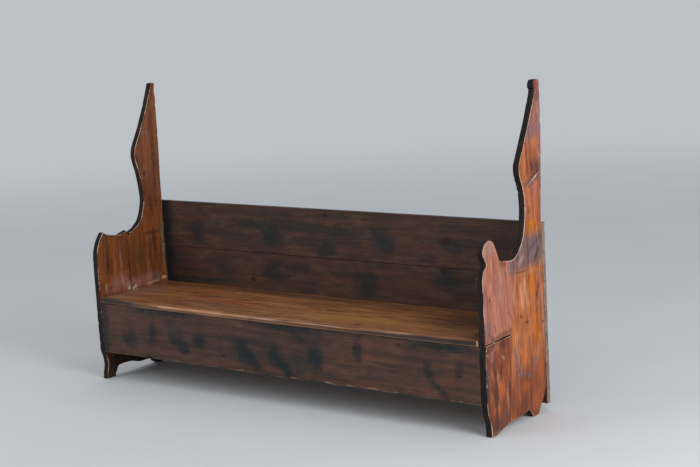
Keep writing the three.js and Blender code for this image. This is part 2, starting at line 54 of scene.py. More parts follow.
def tone(red, green, blue):
    """A colour as it looks on screen, 0 to 255, as the shader's linear colour."""
    shares = (red / 255, green / 255, blue / 255)
    return (*(s / 12.92 if s < 0.04 else ((s + 0.055) / 1.055) ** 2.4 for s in shares), 1)


class Wire:
    """An output socket of a material. Sums and products of wires and numbers add its Math nodes."""

    def __init__(self, socket):
        self.socket = socket

    def node(self, kind, settings, inputs, output=0):
        made = self.socket.id_data.nodes.new("ShaderNode" + kind)
        for name, value in settings.items():
            setattr(made, name, value)
        for name, value in inputs.items():
            if isinstance(value, Wire):
                self.socket.id_data.links.new(value.socket, made.inputs[name])
            else:
                made.inputs[name].default_value = value
        return Wire(made.outputs[output])

    def math(self, operation, first, second):
        return self.node("Math", {"operation": operation}, {0: first, 1: second})

    def __add__(self, other):
        return self.math("ADD", self, other)

    def __radd__(self, other):
        return self.math("ADD", other, self)

    def __sub__(self, other):
        return self.math("SUBTRACT", self, other)

    def __rsub__(self, other):
        return self.math("SUBTRACT", other, self)

    def __mul__(self, other):
        return self.math("MULTIPLY", self, other)

    def __rmul__(self, other):
        return self.math("MULTIPLY", other, self)

    def larger(self, other):
        return self.math("MAXIMUM", self, other)

    def repeat(self):
        return self.math("FRACT", self, 0)

    def size(self):
        return self.math("ABSOLUTE", self, 0)

    def rise(self, low, high):
        """0 at low to 1 at high, with soft ends. It falls where low is the larger."""
        smooth = {"interpolation_type": "SMOOTHSTEP"}
        return self.node("MapRange", smooth, {"Value": self, "From Min": low, "From Max": high})

    def between(self, colour, other):
        """The first colour where this mask is 0, the other where it is 1."""
        return self.node("Mix", {"data_type": "RGBA"}, {0: self, 6: colour, 7: other}, 2)

    def plus(self, vector):
        return self.node("VectorMath", {"operation": "ADD"}, {0: self, 1: vector})

    def times(self, vector):
        return self.node("VectorMath", {"operation": "MULTIPLY"}, {0: self, 1: vector})

    def length(self):
        return self.node("VectorMath", {"operation": "LENGTH"}, {0: self}, "Value")

    def reach(self, centre, size, turn=(0, 0, 0)):
        """The distance from a centre as a share of the half sizes, so 1 on an ellipsoid's skin."""
        values = {"Vector": self, "Location": centre, "Rotation": turn, "Scale": size}
        return self.node("Mapping", {"vector_type": "TEXTURE"}, values).length()

    def noise(self, detail, output="Fac", distortion=0.0):
        values = {"Vector": self, "Scale": 1.0, "Detail": detail, "Distortion": distortion}
        return self.node("TexNoise", {}, values, output)

    def axes(self):
        parts = self.node("SeparateXYZ", {}, {0: self})
        return [Wire(socket) for socket in parts.socket.node.outputs]


def new_finish(name):
    """A material, and its Object coordinates in metres."""
    material = bpy.data.materials.new(name)
    material.use_nodes = True
    place = Wire(material.node_tree.nodes.new("ShaderNodeTexCoord").outputs["Object"])
    return material, place


def pine_grain(place, order, pith, ring, knots=(), taper=0.03):
    """The growth rings, fibre, streaks and knots of a board. order names the axes along the grain, across
    the board and through it. pith is a point of the tree's heart in that order, ring is the width of a
    year's growth, and each knot is its place along and across the board and its radius."""
    axes = dict(zip("XYZ", place.axes()))
    board = place.node("CombineXYZ", {}, {i: axes[letter] for i, letter in enumerate(order)})
    wander = board.times((2.2, 9, 9)).noise(2, "Color").plus((-0.5, -0.5, -0.5))
    board = board.plus(wander.times((0, 0.03, 0.03)))
    radius = board.plus([-p for p in pith]).times((taper, 1, 1)).length()
    knot_mask, knot_ring = None, None
    for along, across, size in knots:
        near = board.plus((-along, -across, 0)).times((0.55 / size, 1 / size, 0)).length()
        radius = radius + near.rise(3.4, 0.4) * (size * 0.9)
        core = near.rise(1.06, 0.86)
        knot_mask = core if knot_mask is None else knot_mask.larger(core)
        edge = core * (near * 3.2).repeat()
        knot_ring = edge if knot_ring is None else knot_ring.larger(edge)
    rings = (radius * (1 / ring)).repeat().rise(0.3, 1.05)
    fibre = board.times((14, 460, 460)).noise(3)
    return {
        "board": board,
        "rings": rings,
        "fibre": fibre,
        "pores": (fibre - 0.5).rise(0.02, 0.2),
        "streaks": board.times((1.7, 42, 42)).noise(3).rise(0.36, 0.66),
        "broad": board.times((0.8, 8, 8)).noise(2).rise(0.35, 0.65),
        "figure": board.times((4.5, 24, 24)).noise(5, distortion=1.1).rise(0.44, 0.62),
        "flame": board.plus((1, 2, 3)).times((3.5, 55, 55)).noise(5, distortion=0.6).rise(0.5, 0.66),
        "knots": knot_mask,
        "knot_rings": knot_ring,
    }


def ragged_place(place, reach=0.012, pattern=(60, 60, 60), tear=0.9):
    """Coordinates shaken by noise, and a torn outline, for the marks made with them."""
    shake = place.times(pattern).noise(3, "Color").plus((-0.5, -0.5, -0.5))
    torn = (place.plus((3, 5, 7)).times([p * 0.6 for p in pattern]).noise(4) - 0.5) * tear
    return place.plus(shake.times((2 * reach, 2 * reach, 2 * reach))), torn


def mark(colour, field, patch_colour, centre, size, turn, strength, core):
    """A torn ellipsoid of another colour: a stain, patch or rub, and in a few places painted shade."""
    ragged, torn = field
    inside = ragged.reach(centre, size, turn) + torn
    return (inside.rise(1.0, core) * strength).between(colour, patch_colour)


def layered(colour, layers):
    """A colour with others laid over it. Each layer is how much of it shows, and its own colour."""
    for share, shade in layers:
        colour = share.between(colour, shade)
    return colour


def shaded(colour, shades):
    """A colour made darker or lighter. Each shade is how much of it shows, and what the red, green and
    blue are multiplied by."""
    for share, shade in shades:
        colour = share.between(colour, colour.times(shade))
    return colour


def edge_wear(place):
    """How rubbed or chipped the wood is at each point, as worn_copy left it."""
    return place.node("Attribute", {"attribute_name": "wear"}, {}, "Fac")


def varnish(material, colour, roughness, height, bump=0.5, depth=0.0006, gloss=0.32):
    """Joins a finish to the material's own shader, with the grain as bump."""
    shader = material.node_tree.nodes["Principled BSDF"]
    links = material.node_tree.links
    links.new(colour.socket, shader.inputs["Base Color"])
    links.new(roughness.socket, shader.inputs["Roughness"])
    relief = height.node("Bump", {}, {"Strength": bump, "Distance": depth, "Height": height})
    links.new(relief.socket, shader.inputs["Normal"])
    shader.inputs["Specular IOR Level"].default_value = gloss
    return material


MILLIMETRE = 0.001
SHARP_EDGE = math.radians(20)
RIM_STEP = 3 * MILLIMETRE
RIM_BAND = 4 * MILLIMETRE
JOINTED_BAND = 3 * MILLIMETRE
JOINTED_WEAR = 0.12
THICKNESS_CUT_SHARES = (0.14, 0.3, 0.5, 0.7, 0.86)


def board_rims(work, quiet):
    """A search tree of points along the sharp edges of a board, and how much each may wear."""
    rims, weights = [], []
    for edge in work.edges:
        if len(edge.link_faces) == 2 and edge.calc_face_angle() > SHARP_EDGE:
            steps = max(1, math.ceil(edge.calc_length() / RIM_STEP))
            first, last = (v.co for v in edge.verts)
            for i in range(steps + 1):
                point = first.lerp(last, i / steps)
                tight = quiet is not None and any(quiet(face, point) for face in edge.link_faces)
                rims.append(point)
                weights.append(JOINTED_WEAR if tight else 1)
    tree = kdtree.KDTree(len(rims))
    for i, point in enumerate(rims):
        tree.insert(point, i)
    tree.balance()
    return tree, weights


def cut_finely(work, box, along, across, spacing, quiet, rng):
    """Cuts a board into small faces: through its thickness, beside its edges, and at uneven distances
    drawn from rng along and across it."""
    low, high = box
    through = 3 - along - across
    planes = [(through, low[through] + share * (high - low)[through]) for share in THICKNESS_CUT_SHARES]
    for axis, pitch in ((along, spacing[0]), (across, spacing[1])):
        place = low[axis] + pitch * rng.uniform(0.3, 0.7)
        while place < high[axis]:
            planes.append((axis, place))
            place += pitch * rng.uniform(0.75, 1.25)
        planes += [(axis, low[axis] + RIM_BAND), (axis, high[axis] - RIM_BAND)]
    if quiet is not None:
        broad = [f for f in work.faces if abs(f.normal[through]) > 0.99]
        bmesh.ops.inset_region(work, faces=broad, thickness=JOINTED_BAND, use_even_offset=True)
    for axis, place in planes:
        point, normal = Vector(), Vector()
        point[axis], normal[axis] = place, 1
        everything = [*work.verts, *work.edges, *work.faces]
        bmesh.ops.bisect_plane(work, geom=everything, dist=1e-6, plane_co=point, plane_no=normal)
    work.normal_update()


def fade(distance, width):
    """1 at no distance, a third of that at one width and almost nothing at two."""
    return math.exp(-((distance / width) ** 2))


X, Y, Z = range(3)
ROUND_WIDTH, PALE_WIDTH, CHIP_WIDTH = 4, 1.5, 5
EDGE_WAVES, PALE_WAVES, CHIP_WAVES, FACE_WAVES, FIBRE_WAVES = 14, 17, 45, 5, 90
CHIP_START = 0.34
FACE_RELIEF, FIBRE_RELIEF = 0.35, 0.12
FIBRE_LENGTH_SHARE = 0.15
SMOOTH_CORNER = math.radians(42)


def worn_copy(
    name, node, along, across, spacing, seed, arris, chips, rub=0.5, quiet=None, shape=None
):
    """A finely cut copy of a CAD board, its faces slightly uneven and its edges rubbed and chipped. Wood
    is only ever taken away, in mm. along and across are axes, spacing is how far apart the cuts are in
    metres, arris and chips are how deep the edges are worn in mm, and rub is how pale they are.
    quiet(face, point) is true where the face is jointed tight. shape(point, normal, distance) gives more
    to take away and more wear, at a distance in mm from the nearest edge."""
    rng = random.Random(seed)
    work = bmesh.new()
    work.from_mesh(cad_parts[node].data)
    bmesh.ops.remove_doubles(work, verts=work.verts, dist=0.01 * MILLIMETRE)
    bmesh.ops.dissolve_limit(work, angle_limit=math.radians(0.1), verts=work.verts, edges=work.edges)
    work.normal_update()
    rims, weights = board_rims(work, quiet)
    low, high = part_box(node)
    cut_finely(work, (low, high), along, across, spacing, quiet, rng)
    shift = Vector([rng.uniform(-50, 50) for _ in range(3)])
    wear_layer = work.verts.layers.float.new("wear")
    grain = Vector((1, 1, 1))
    grain[along] = FIBRE_LENGTH_SHARE
    for vertex in work.verts:
        spot = vertex.co
        rim, distance = rims.find(spot)[1:]
        distance /= MILLIMETRE
        uneven = 0.5 + 0.9 * noise.noise((spot + shift) * EDGE_WAVES)
        chip = noise.noise((spot + shift) * CHIP_WAVES) - CHIP_START
        paleness = rub + 0.8 * noise.noise((spot + shift) * PALE_WAVES)
        take = weights[rim] * fade(distance, ROUND_WIDTH) * arris * max(0.15, uneven)
        wear = weights[rim] * fade(distance, PALE_WIDTH) * paleness
        if chip > 0:
            bite = weights[rim] * min(1, chip * 4) * fade(distance, CHIP_WIDTH)
            take += chips * bite
            wear += 0.6 * bite
        fibres = Vector([(spot[i] + shift[i]) * FIBRE_WAVES * grain[i] for i in range(3)])
        take += FACE_RELIEF * (1 + noise.noise((spot + shift) * FACE_WAVES))
        take += FIBRE_RELIEF * (1 + noise.noise(fibres))
        if shape:
            more_take, more_wear = shape(spot, vertex.normal, distance)
            take += more_take
            wear += more_wear
        vertex[wear_layer] = max(0, min(1, wear))
        moved = spot - vertex.normal * take * MILLIMETRE
        vertex.co = [max(low[i], min(high[i], moved[i])) for i in range(3)]
    mesh = bpy.data.meshes.new(name)
    work.to_mesh(mesh)
    work.free()
    mesh.shade_smooth()
    mesh.set_sharp_from_angle(angle=SMOOTH_CORNER)
    piece = bpy.data.objects.new(name, mesh)
    bpy.context.scene.collection.objects.link(piece)
    return piece


def fit(piece, body, node, material):
    """Gives a board its finish and puts it in the place of its CAD board."""
    piece.data.materials.append(material)
    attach(piece, body)
    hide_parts(node)


HONEY = tone(184, 104, 54)
AMBER = tone(200, 106, 12)
LILAC = tone(126, 98, 98)
SMOKE = tone(78, 58, 56)
ORANGE_BROWN = tone(124, 68, 36)
# Near black, for the painted shade on the sawn edges.
SHADED_EDGE_BLACK = tone(17, 12, 10)
RAW_WOOD = tone(204, 172, 148)
CAD_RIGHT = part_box("end_right_rear")
CAD_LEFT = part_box("end_left_rear")
END_THICKNESS = round(CAD_RIGHT[1].x - CAD_RIGHT[0].x, 6)
CAD_FRONT, LEG_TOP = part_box("end_right_leg")[0].y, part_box("end_right_leg")[1].z
BACK_FOOT, BACK_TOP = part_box("back_bottom")[0].z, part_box("back_top")[1].z
WIDE_MARK, THIN_MARK = 0.25, 0.007


def end_finish(name, side, pith, ring, tints, figured, outer_marks, inner_marks, knots):
    """The three faces of an end: bleached outside, waxed inside and, as painted shade, near black on the
    sawn edges. figured is how mottled the outside is. A mark is a colour, its middle and half size in y and
    z, its turn, its strength and how sharp it is."""
    material, place = new_finish(name)
    grain = pine_grain(place, "ZYX", pith, ring, knots, taper=0.05)
    torn_field, calm_field = ragged_place(place), ragged_place(place, 0.008, (30, 30, 30), 0.4)
    straight_field = ragged_place(place, 0.002, (30, 30, 30), 0.5)
    middle = side * (CAD_RIGHT[1].x - END_THICKNESS / 2)
    outward = (place.axes()[0] - middle) * side
    faces = []
    for pale, warm, marks, face_x in (
        (*tints, outer_marks, side * CAD_RIGHT[1].x),
        (tone(128, 74, 38), ORANGE_BROWN, inner_marks, side * (CAD_RIGHT[1].x - END_THICKNESS)),
    ):
        face = (grain["streaks"] * 0.9).between(warm, pale)
        for patch_colour, centre, size, turn, strength, core in marks:
            field = torn_field
            if max(size) > WIDE_MARK:
                field = calm_field
            elif min(size) < THIN_MARK:
                field = straight_field
            spot = (face_x, *centre)
            face = mark(face, field, patch_colour, spot, (0.02, *size), (turn, 0, 0), strength, core)
        faces.append(face)
    outer = shaded(faces[0], [
        (grain["figure"] * figured, (0.3, 0.23, 0.2)),
        (grain["flame"] * 0.4, (1.55, 1.45, 1.3)),
        (grain["rings"] * (0.15 + 0.4 * figured), (0.34, 0.27, 0.26)),
    ])
    inner = shaded(faces[1], [
        (grain["figure"] * 0.5, (0.3, 0.28, 0.28)),
        (grain["flame"] * 0.4, (1.7, 1.6, 1.4)),
        (grain["rings"] * 0.25, (0.25, 0.22, 0.25)),
    ])
    half = END_THICKNESS / 2
    # Painted shade: wood more than about a millimetre inside both broad faces, on the sawn edges and in deep
    # chips, is painted near black.
    sawn = outward.size().rise(half - 0.8 * MILLIMETRE, half - 3 * MILLIMETRE)
    rubbed = (edge_wear(place) + grain["fibre"] * 0.5).rise(0.72, 1.0)
    colour = layered(outward.rise(-4 * MILLIMETRE, 4 * MILLIMETRE).between(inner, outer), [
        (grain["pores"] * 0.5, tone(60, 34, 25)),
        (grain["knots"] * 0.7, tone(78, 44, 30)),
        (grain["knot_rings"] * 0.6, tone(36, 22, 17)),
        (sawn, (grain["figure"] * 0.5).between(SHADED_EDGE_BLACK, tone(50, 33, 26))),
        (rubbed * 0.85, RAW_WOOD),
    ])
    roughness = 0.4 + grain["streaks"] * 0.14 + grain["rings"] * 0.08 + rubbed * 0.2 + sawn * 0.25
    height = grain["rings"] * 0.7 + grain["fibre"] * 0.8 - grain["knot_rings"] * 0.5
    return varnish(material, colour, roughness, height, gloss=0.26)


OUTER_ARRIS_WEAR, INNER_ARRIS_WEAR = 0.2, -0.6
REAR_BAND = 0.012


def right_arris(spot, normal, distance):
    """The right end is rubbed pale along its outer arris, and has stayed dark along the inner one."""
    if spot.x < CAD_RIGHT[1].x - END_THICKNESS / 2:
        return 0, INNER_ARRIS_WEAR
    if spot.y > CAD_RIGHT[1].y - REAR_BAND and spot.z > BACK_TOP:
        return 0, OUTER_ARRIS_WEAR + 0.5 * fade(distance, 2)
    return 0, OUTER_ARRIS_WEAR


SCRATCH_START, SCRATCH_END = Vector((0.112, 0.975)), Vector((0.222, 1.013))
SCRATCH_REACH = 12


def neck_scratch(spot, normal, distance):
    """A dent struck slantwise across the right side post."""
    point = Vector((spot.y, spot.z)) - SCRATCH_START
    line = SCRATCH_END - SCRATCH_START
    share = max(0, min(1, point.dot(line) / line.length_squared))
    away = (point - line * share).length / MILLIMETRE
    if normal.x < 0.5 or away > SCRATCH_REACH:
        return right_arris(spot, normal, distance)
    return 1.8 * fade(away, 5), 0.7 * fade(away, 3)


RUBBED_REACH = 25


def rubbed_by_sitters(spot, normal, distance):
    """The inner front edge of the left end, worn to a pale slope where hands and backs rub it."""
    if spot.x < CAD_LEFT[1].x - 0.015 or distance > RUBBED_REACH:
        return 0, 0
    on_post = 0.98 < spot.z < 1.36 and spot.y < 0.2
    on_neck = 0.67 < spot.z < 0.82 and -0.05 < spot.y < 0.13
    on_scroll = spot.z > 0.66 and spot.y < -0.1
    if not (on_post or on_neck or on_scroll):
        return 0, 0
    near = max(0.2, 0.85 + 0.7 * noise.noise(spot * 21)) * fade(distance, 6)
    return 4.5 * near, 0.72 * near


LIP_HEIGHT, LIP_REACH = 0.0255, 8


def splice_lip(spot, normal, distance):
    """The top edge of the right leg along the open splice: chipped, and pale partly from wear and partly as
    a painted highlight on its upward face.
    """
    if spot.z < LEG_TOP - LIP_HEIGHT or distance > LIP_REACH:
        return right_arris(spot, normal, distance)
    # Paler here, partly wear and partly a painted highlight on the leg's upward top edge.
    return 0.8 * fade(distance, 3), 0.6 * fade(distance, 3)


SEAM_AREA = 0.01
FRONT_BAND = 0.02


def jointed(face, spot):
    """True on a long narrow face of a plank that meets another plank, or the back boards."""
    if face.normal.x ** 2 > 0.02:
        return False
    if face.normal.y > 0.9:
        return BACK_FOOT < spot.z < BACK_TOP
    return face.calc_area() > SEAM_AREA and face.calc_center_median().y > CAD_FRONT + FRONT_BAND


END_CUTS = (0.008, 0.0075)
ROSE, ORANGE = tone(192, 126, 104), tone(164, 92, 56)


def end_plank(name, node, seed, side, pith, ring, tints, figured, outer_marks, inner_marks, knots, shape):
    """One plank of an end. side is -1 on the left and 1 on the right, and tints are its two colours."""
    finish = end_finish(
        "finish_of_" + name, side, pith, ring, tints, figured, outer_marks, inner_marks, knots
    )
    plank = worn_copy(
        name, node, Z, Y, END_CUTS, seed, arris=1.4, chips=2.6, rub=0.62, quiet=jointed, shape=shape
    )
    fit(plank, "bench", node, finish)


unseen_marks = [
    (LILAC, (0.12, 0.68), (0.12, 0.06), 0.2, 0.8, 0.4),
    (AMBER, (0.1, 0.5), (0.03, 0.1), 0.0, 0.7, 0.4),
    (tone(120, 74, 54), (0.0, 0.12), (0.4, 0.14), 0.0, 0.7, 0.3),
    (tone(150, 106, 96), (0.19, 1.2), (0.1, 0.12), 0.0, 0.7, 0.4),
    (SMOKE, (-0.1, 0.36), (0.014, 0.03), 0.3, 0.7, 0.4),
    (HONEY, (-0.14, 0.55), (0.06, 0.12), 0.0, 0.7, 0.3),
]
waxed_marks = [
    (tone(80, 50, 34), (0.14, 0.5), (0.06, 0.12), 0.0, 0.7, 0.3),
    (tone(146, 90, 48), (-0.12, 0.52), (0.05, 0.1), 0.0, 0.6, 0.3),
    (tone(92, 84, 82), (0.12, 0.44), (0.04, 0.03), 0.0, 0.7, 0.4),
]
left_front_marks = [
    (tone(160, 106, 94), (-0.1, 0.45), (0.1, 0.065), 0.0, 0.9, 0.2),
    (tone(176, 140, 126), (-0.05, 0.43), (0.02, 0.03), 0.3, 0.7, 0.3),
    (tone(176, 148, 132), (-0.2, 0.44), (0.012, 0.03), 0.0, 0.6, 0.3),
    (tone(150, 84, 40), (-0.13, 0.56), (0.014, 0.13), 0.0, 0.8, 0.3),
    (tone(150, 96, 84), (-0.09, 0.57), (0.012, 0.1), 0.0, 0.7, 0.3),
    (tone(72, 46, 36), (-0.18, 0.57), (0.016, 0.12), 0.0, 0.8, 0.3),
    (tone(74, 44, 30), (-0.035, 0.55), (0.01, 0.15), 0.0, 0.8, 0.3),
    (tone(146, 96, 84), (-0.12, 0.425), (0.12, 0.022), 0.0, 0.6, 0.4),
    (tone(200, 186, 168), (-0.035, 0.413), (0.03, 0.015), 0.0, 0.9, 0.4),
    (tone(44, 30, 24), (-0.25, 0.2), (0.02, 0.19), 0.0, 0.95, 0.6),
    # Painted shade: the foot of the inner face, below the front board, darkened as if in shade.
    (tone(48, 34, 26), (0.0, 0.05), (0.5, 0.09), 0.0, 0.9, 0.6),
]
end_plank(
    "left_front_plank", "end_left_front", seed=10, side=-1, pith=(-0.6, -0.12, -1.2), ring=0.009,
    tints=(ROSE, ORANGE), figured=0.5, outer_marks=unseen_marks, inner_marks=left_front_marks,
    knots=[(0.41, -0.03, 0.009), (0.2, -0.16, 0.008)], shape=rubbed_by_sitters,
)

left_rear_marks = [
    (tone(104, 72, 36), (0.04, 0.56), (0.04, 0.12), 0.0, 0.8, 0.3),
    (tone(140, 98, 62), (0.1, 0.58), (0.007, 0.1), 0.0, 0.75, 0.3),
    (tone(64, 38, 28), (0.15, 0.6), (0.02, 0.1), 0.0, 0.8, 0.3),
    (tone(148, 100, 88), (0.06, 0.435), (0.17, 0.042), 0.0, 0.8, 0.3),
    (tone(180, 150, 126), (0.12, 0.412), (0.06, 0.008), 0.1, 0.7, 0.4),
    (tone(78, 80, 84), (0.15, 0.44), (0.028, 0.04), 0.0, 0.7, 0.2),
    (tone(200, 186, 168), (-0.012, 0.408), (0.024, 0.011), 0.3, 0.85, 0.4),
    (tone(60, 38, 28), (0.13, 0.66), (0.09, 0.012), 0.0, 0.6, 0.4),
    (tone(108, 54, 24), (0.14, 0.85), (0.09, 0.16), 0.0, 0.8, 0.3),
    (tone(70, 38, 22), (0.14, 0.8), (0.025, 0.09), 0.1, 0.6, 0.2),
    (tone(66, 36, 22), (0.18, 0.98), (0.02, 0.2), 0.0, 0.6, 0.3),
    (tone(112, 96, 92), (0.13, 1.155), (0.035, 0.014), 0.1, 0.8, 0.4),
    (SMOKE, (0.112, 0.957), (0.016, 0.011), 0.0, 0.9, 0.5),
    (SMOKE, (0.098, 0.866), (0.01, 0.007), 0.0, 0.8, 0.5),
    (RAW_WOOD, (0.196, 0.42), (0.02, 0.012), 0.0, 0.75, 0.5),
    (tone(112, 106, 88), (0.208, 0.6), (0.012, 0.2), 0.0, 0.75, 0.4),
    # Painted shade: the foot of the inner face, below the front board, darkened as if in shade.
    (tone(48, 34, 26), (0.0, 0.05), (0.5, 0.09), 0.0, 0.9, 0.6),
]
end_plank(
    "left_rear_plank", "end_left_rear", seed=11, side=-1, pith=(-0.4, 0.09, -1.19), ring=0.0095,
    tints=(ROSE, ORANGE), figured=0.5, outer_marks=unseen_marks, inner_marks=left_rear_marks,
    knots=[(0.957, 0.112, 0.009), (0.866, 0.098, 0.006)], shape=rubbed_by_sitters,
)

right_arm_marks = [
    (tone(192, 132, 112), (-0.12, 0.6), (0.05, 0.15), 0.0, 0.7, 0.3),
    (tone(158, 108, 96), (-0.225, 0.52), (0.035, 0.14), 0.0, 0.75, 0.3),
    (tone(158, 96, 72), (-0.06, 0.52), (0.014, 0.15), 0.02, 0.7, 0.3),
    (tone(136, 70, 50), (-0.09, 0.69), (0.045, 0.03), 0.0, 0.8, 0.1),
    (tone(176, 142, 134), (-0.19, 0.78), (0.06, 0.07), 0.0, 0.65, 0.2),
    (LILAC, (-0.22, 0.44), (0.03, 0.045), 0.0, 0.7, 0.4),
    (tone(124, 70, 50), (-0.1, 0.402), (0.2, 0.018), 0.05, 0.75, 0.3),
    (tone(104, 74, 70), (-0.2, 0.41), (0.05, 0.014), -0.7, 0.7, 0.2),
    (tone(132, 106, 106), (-0.02, 0.665), (0.045, 0.05), 0.3, 0.85, 0.5),
    (SMOKE, (-0.165, 0.43), (0.008, 0.03), 0.3, 0.6, 0.4),
]
end_plank(
    "right_arm_plank", "end_right_arm", seed=12, side=1, pith=(-1.2, -0.15, 1.2), ring=0.0115,
    tints=(ROSE, tone(174, 108, 84)), figured=0.35, outer_marks=right_arm_marks, inner_marks=waxed_marks,
    knots=[(0.56, -0.2, 0.005)], shape=right_arris,
)

right_leg_marks = [
    (tone(104, 56, 38), (-0.13, 0.08), (0.4, 0.12), 0.0, 0.8, 0.1),
    (tone(172, 122, 110), (-0.19, 0.35), (0.07, 0.016), 0.5, 0.6, 0.1),
    (tone(164, 116, 102), (-0.2, 0.32), (0.03, 0.02), 0.7, 0.6, 0.1),
    (tone(116, 58, 42), (-0.1, 0.362), (0.05, 0.022), 0.0, 0.8, 0.3),
    (tone(92, 52, 38), (-0.17, 0.312), (0.05, 0.009), 0.4, 0.75, 0.3),
    (tone(196, 142, 112), (-0.12, 0.312), (0.04, 0.009), -0.5, 0.7, 0.2),
    (tone(206, 106, 50), (-0.2, 0.25), (0.02, 0.065), 0.25, 0.85, 0.2),
    (tone(220, 158, 118), (-0.158, 0.225), (0.008, 0.055), 0.06, 0.9, 0.3),
    (tone(78, 42, 28), (-0.135, 0.255), (0.009, 0.06), -0.1, 0.85, 0.3),
    (tone(78, 42, 28), (-0.182, 0.265), (0.006, 0.05), 0.3, 0.8, 0.3),
    (tone(178, 80, 32), (-0.078, 0.25), (0.022, 0.075), -0.1, 0.8, 0.2),
    (tone(200, 126, 86), (-0.1, 0.25), (0.005, 0.055), -0.15, 0.8, 0.3),
    (tone(124, 92, 90), (-0.036, 0.29), (0.01, 0.06), 0.0, 0.75, 0.3),
    (tone(94, 80, 88), (-0.238, 0.25), (0.02, 0.07), 0.0, 0.85, 0.3),
    (tone(200, 100, 42), (-0.14, 0.19), (0.032, 0.07), 0.1, 0.75, 0.1),
    (tone(198, 124, 78), (-0.118, 0.2), (0.008, 0.07), 0.0, 0.7, 0.2),
    (tone(70, 38, 26), (-0.212, 0.2), (0.008, 0.06), 0.0, 0.7, 0.2),
    (tone(200, 108, 54), (-0.16, 0.1), (0.014, 0.055), 0.0, 0.75, 0.2),
    (tone(76, 44, 32), (-0.08, 0.17), (0.008, 0.06), 0.0, 0.7, 0.2),
    (tone(182, 92, 44), (-0.2, 0.1), (0.022, 0.06), 0.0, 0.65, 0.1),
    (tone(92, 52, 40), (-0.185, 0.16), (0.01, 0.05), 0.0, 0.75, 0.3),
    (tone(184, 104, 60), (-0.21, 0.16), (0.01, 0.045), 0.1, 0.7, 0.3),
    (tone(186, 114, 80), (-0.09, 0.13), (0.01, 0.09), 0.0, 0.75, 0.2),
    (tone(96, 54, 40), (-0.052, 0.12), (0.01, 0.09), 0.0, 0.75, 0.2),
    (tone(104, 82, 76), (-0.12, 0.055), (0.01, 0.06), 0.0, 0.75, 0.2),
    (tone(88, 60, 48), (-0.17, 0.03), (0.1, 0.06), 0.0, 0.5, 0.1),
    (tone(150, 120, 108), (-0.19, 0.012), (0.035, 0.018), 0.0, 0.75, 0.3),
]
end_plank(
    "right_leg_plank", "end_right_leg", seed=13, side=1, pith=(-0.25, -0.147, 1.115), ring=0.0075,
    tints=(tone(162, 88, 50), tone(114, 56, 30)), figured=0.6, outer_marks=right_leg_marks,
    inner_marks=waxed_marks, knots=[(0.357, -0.115, 0.007)], shape=splice_lip,
)

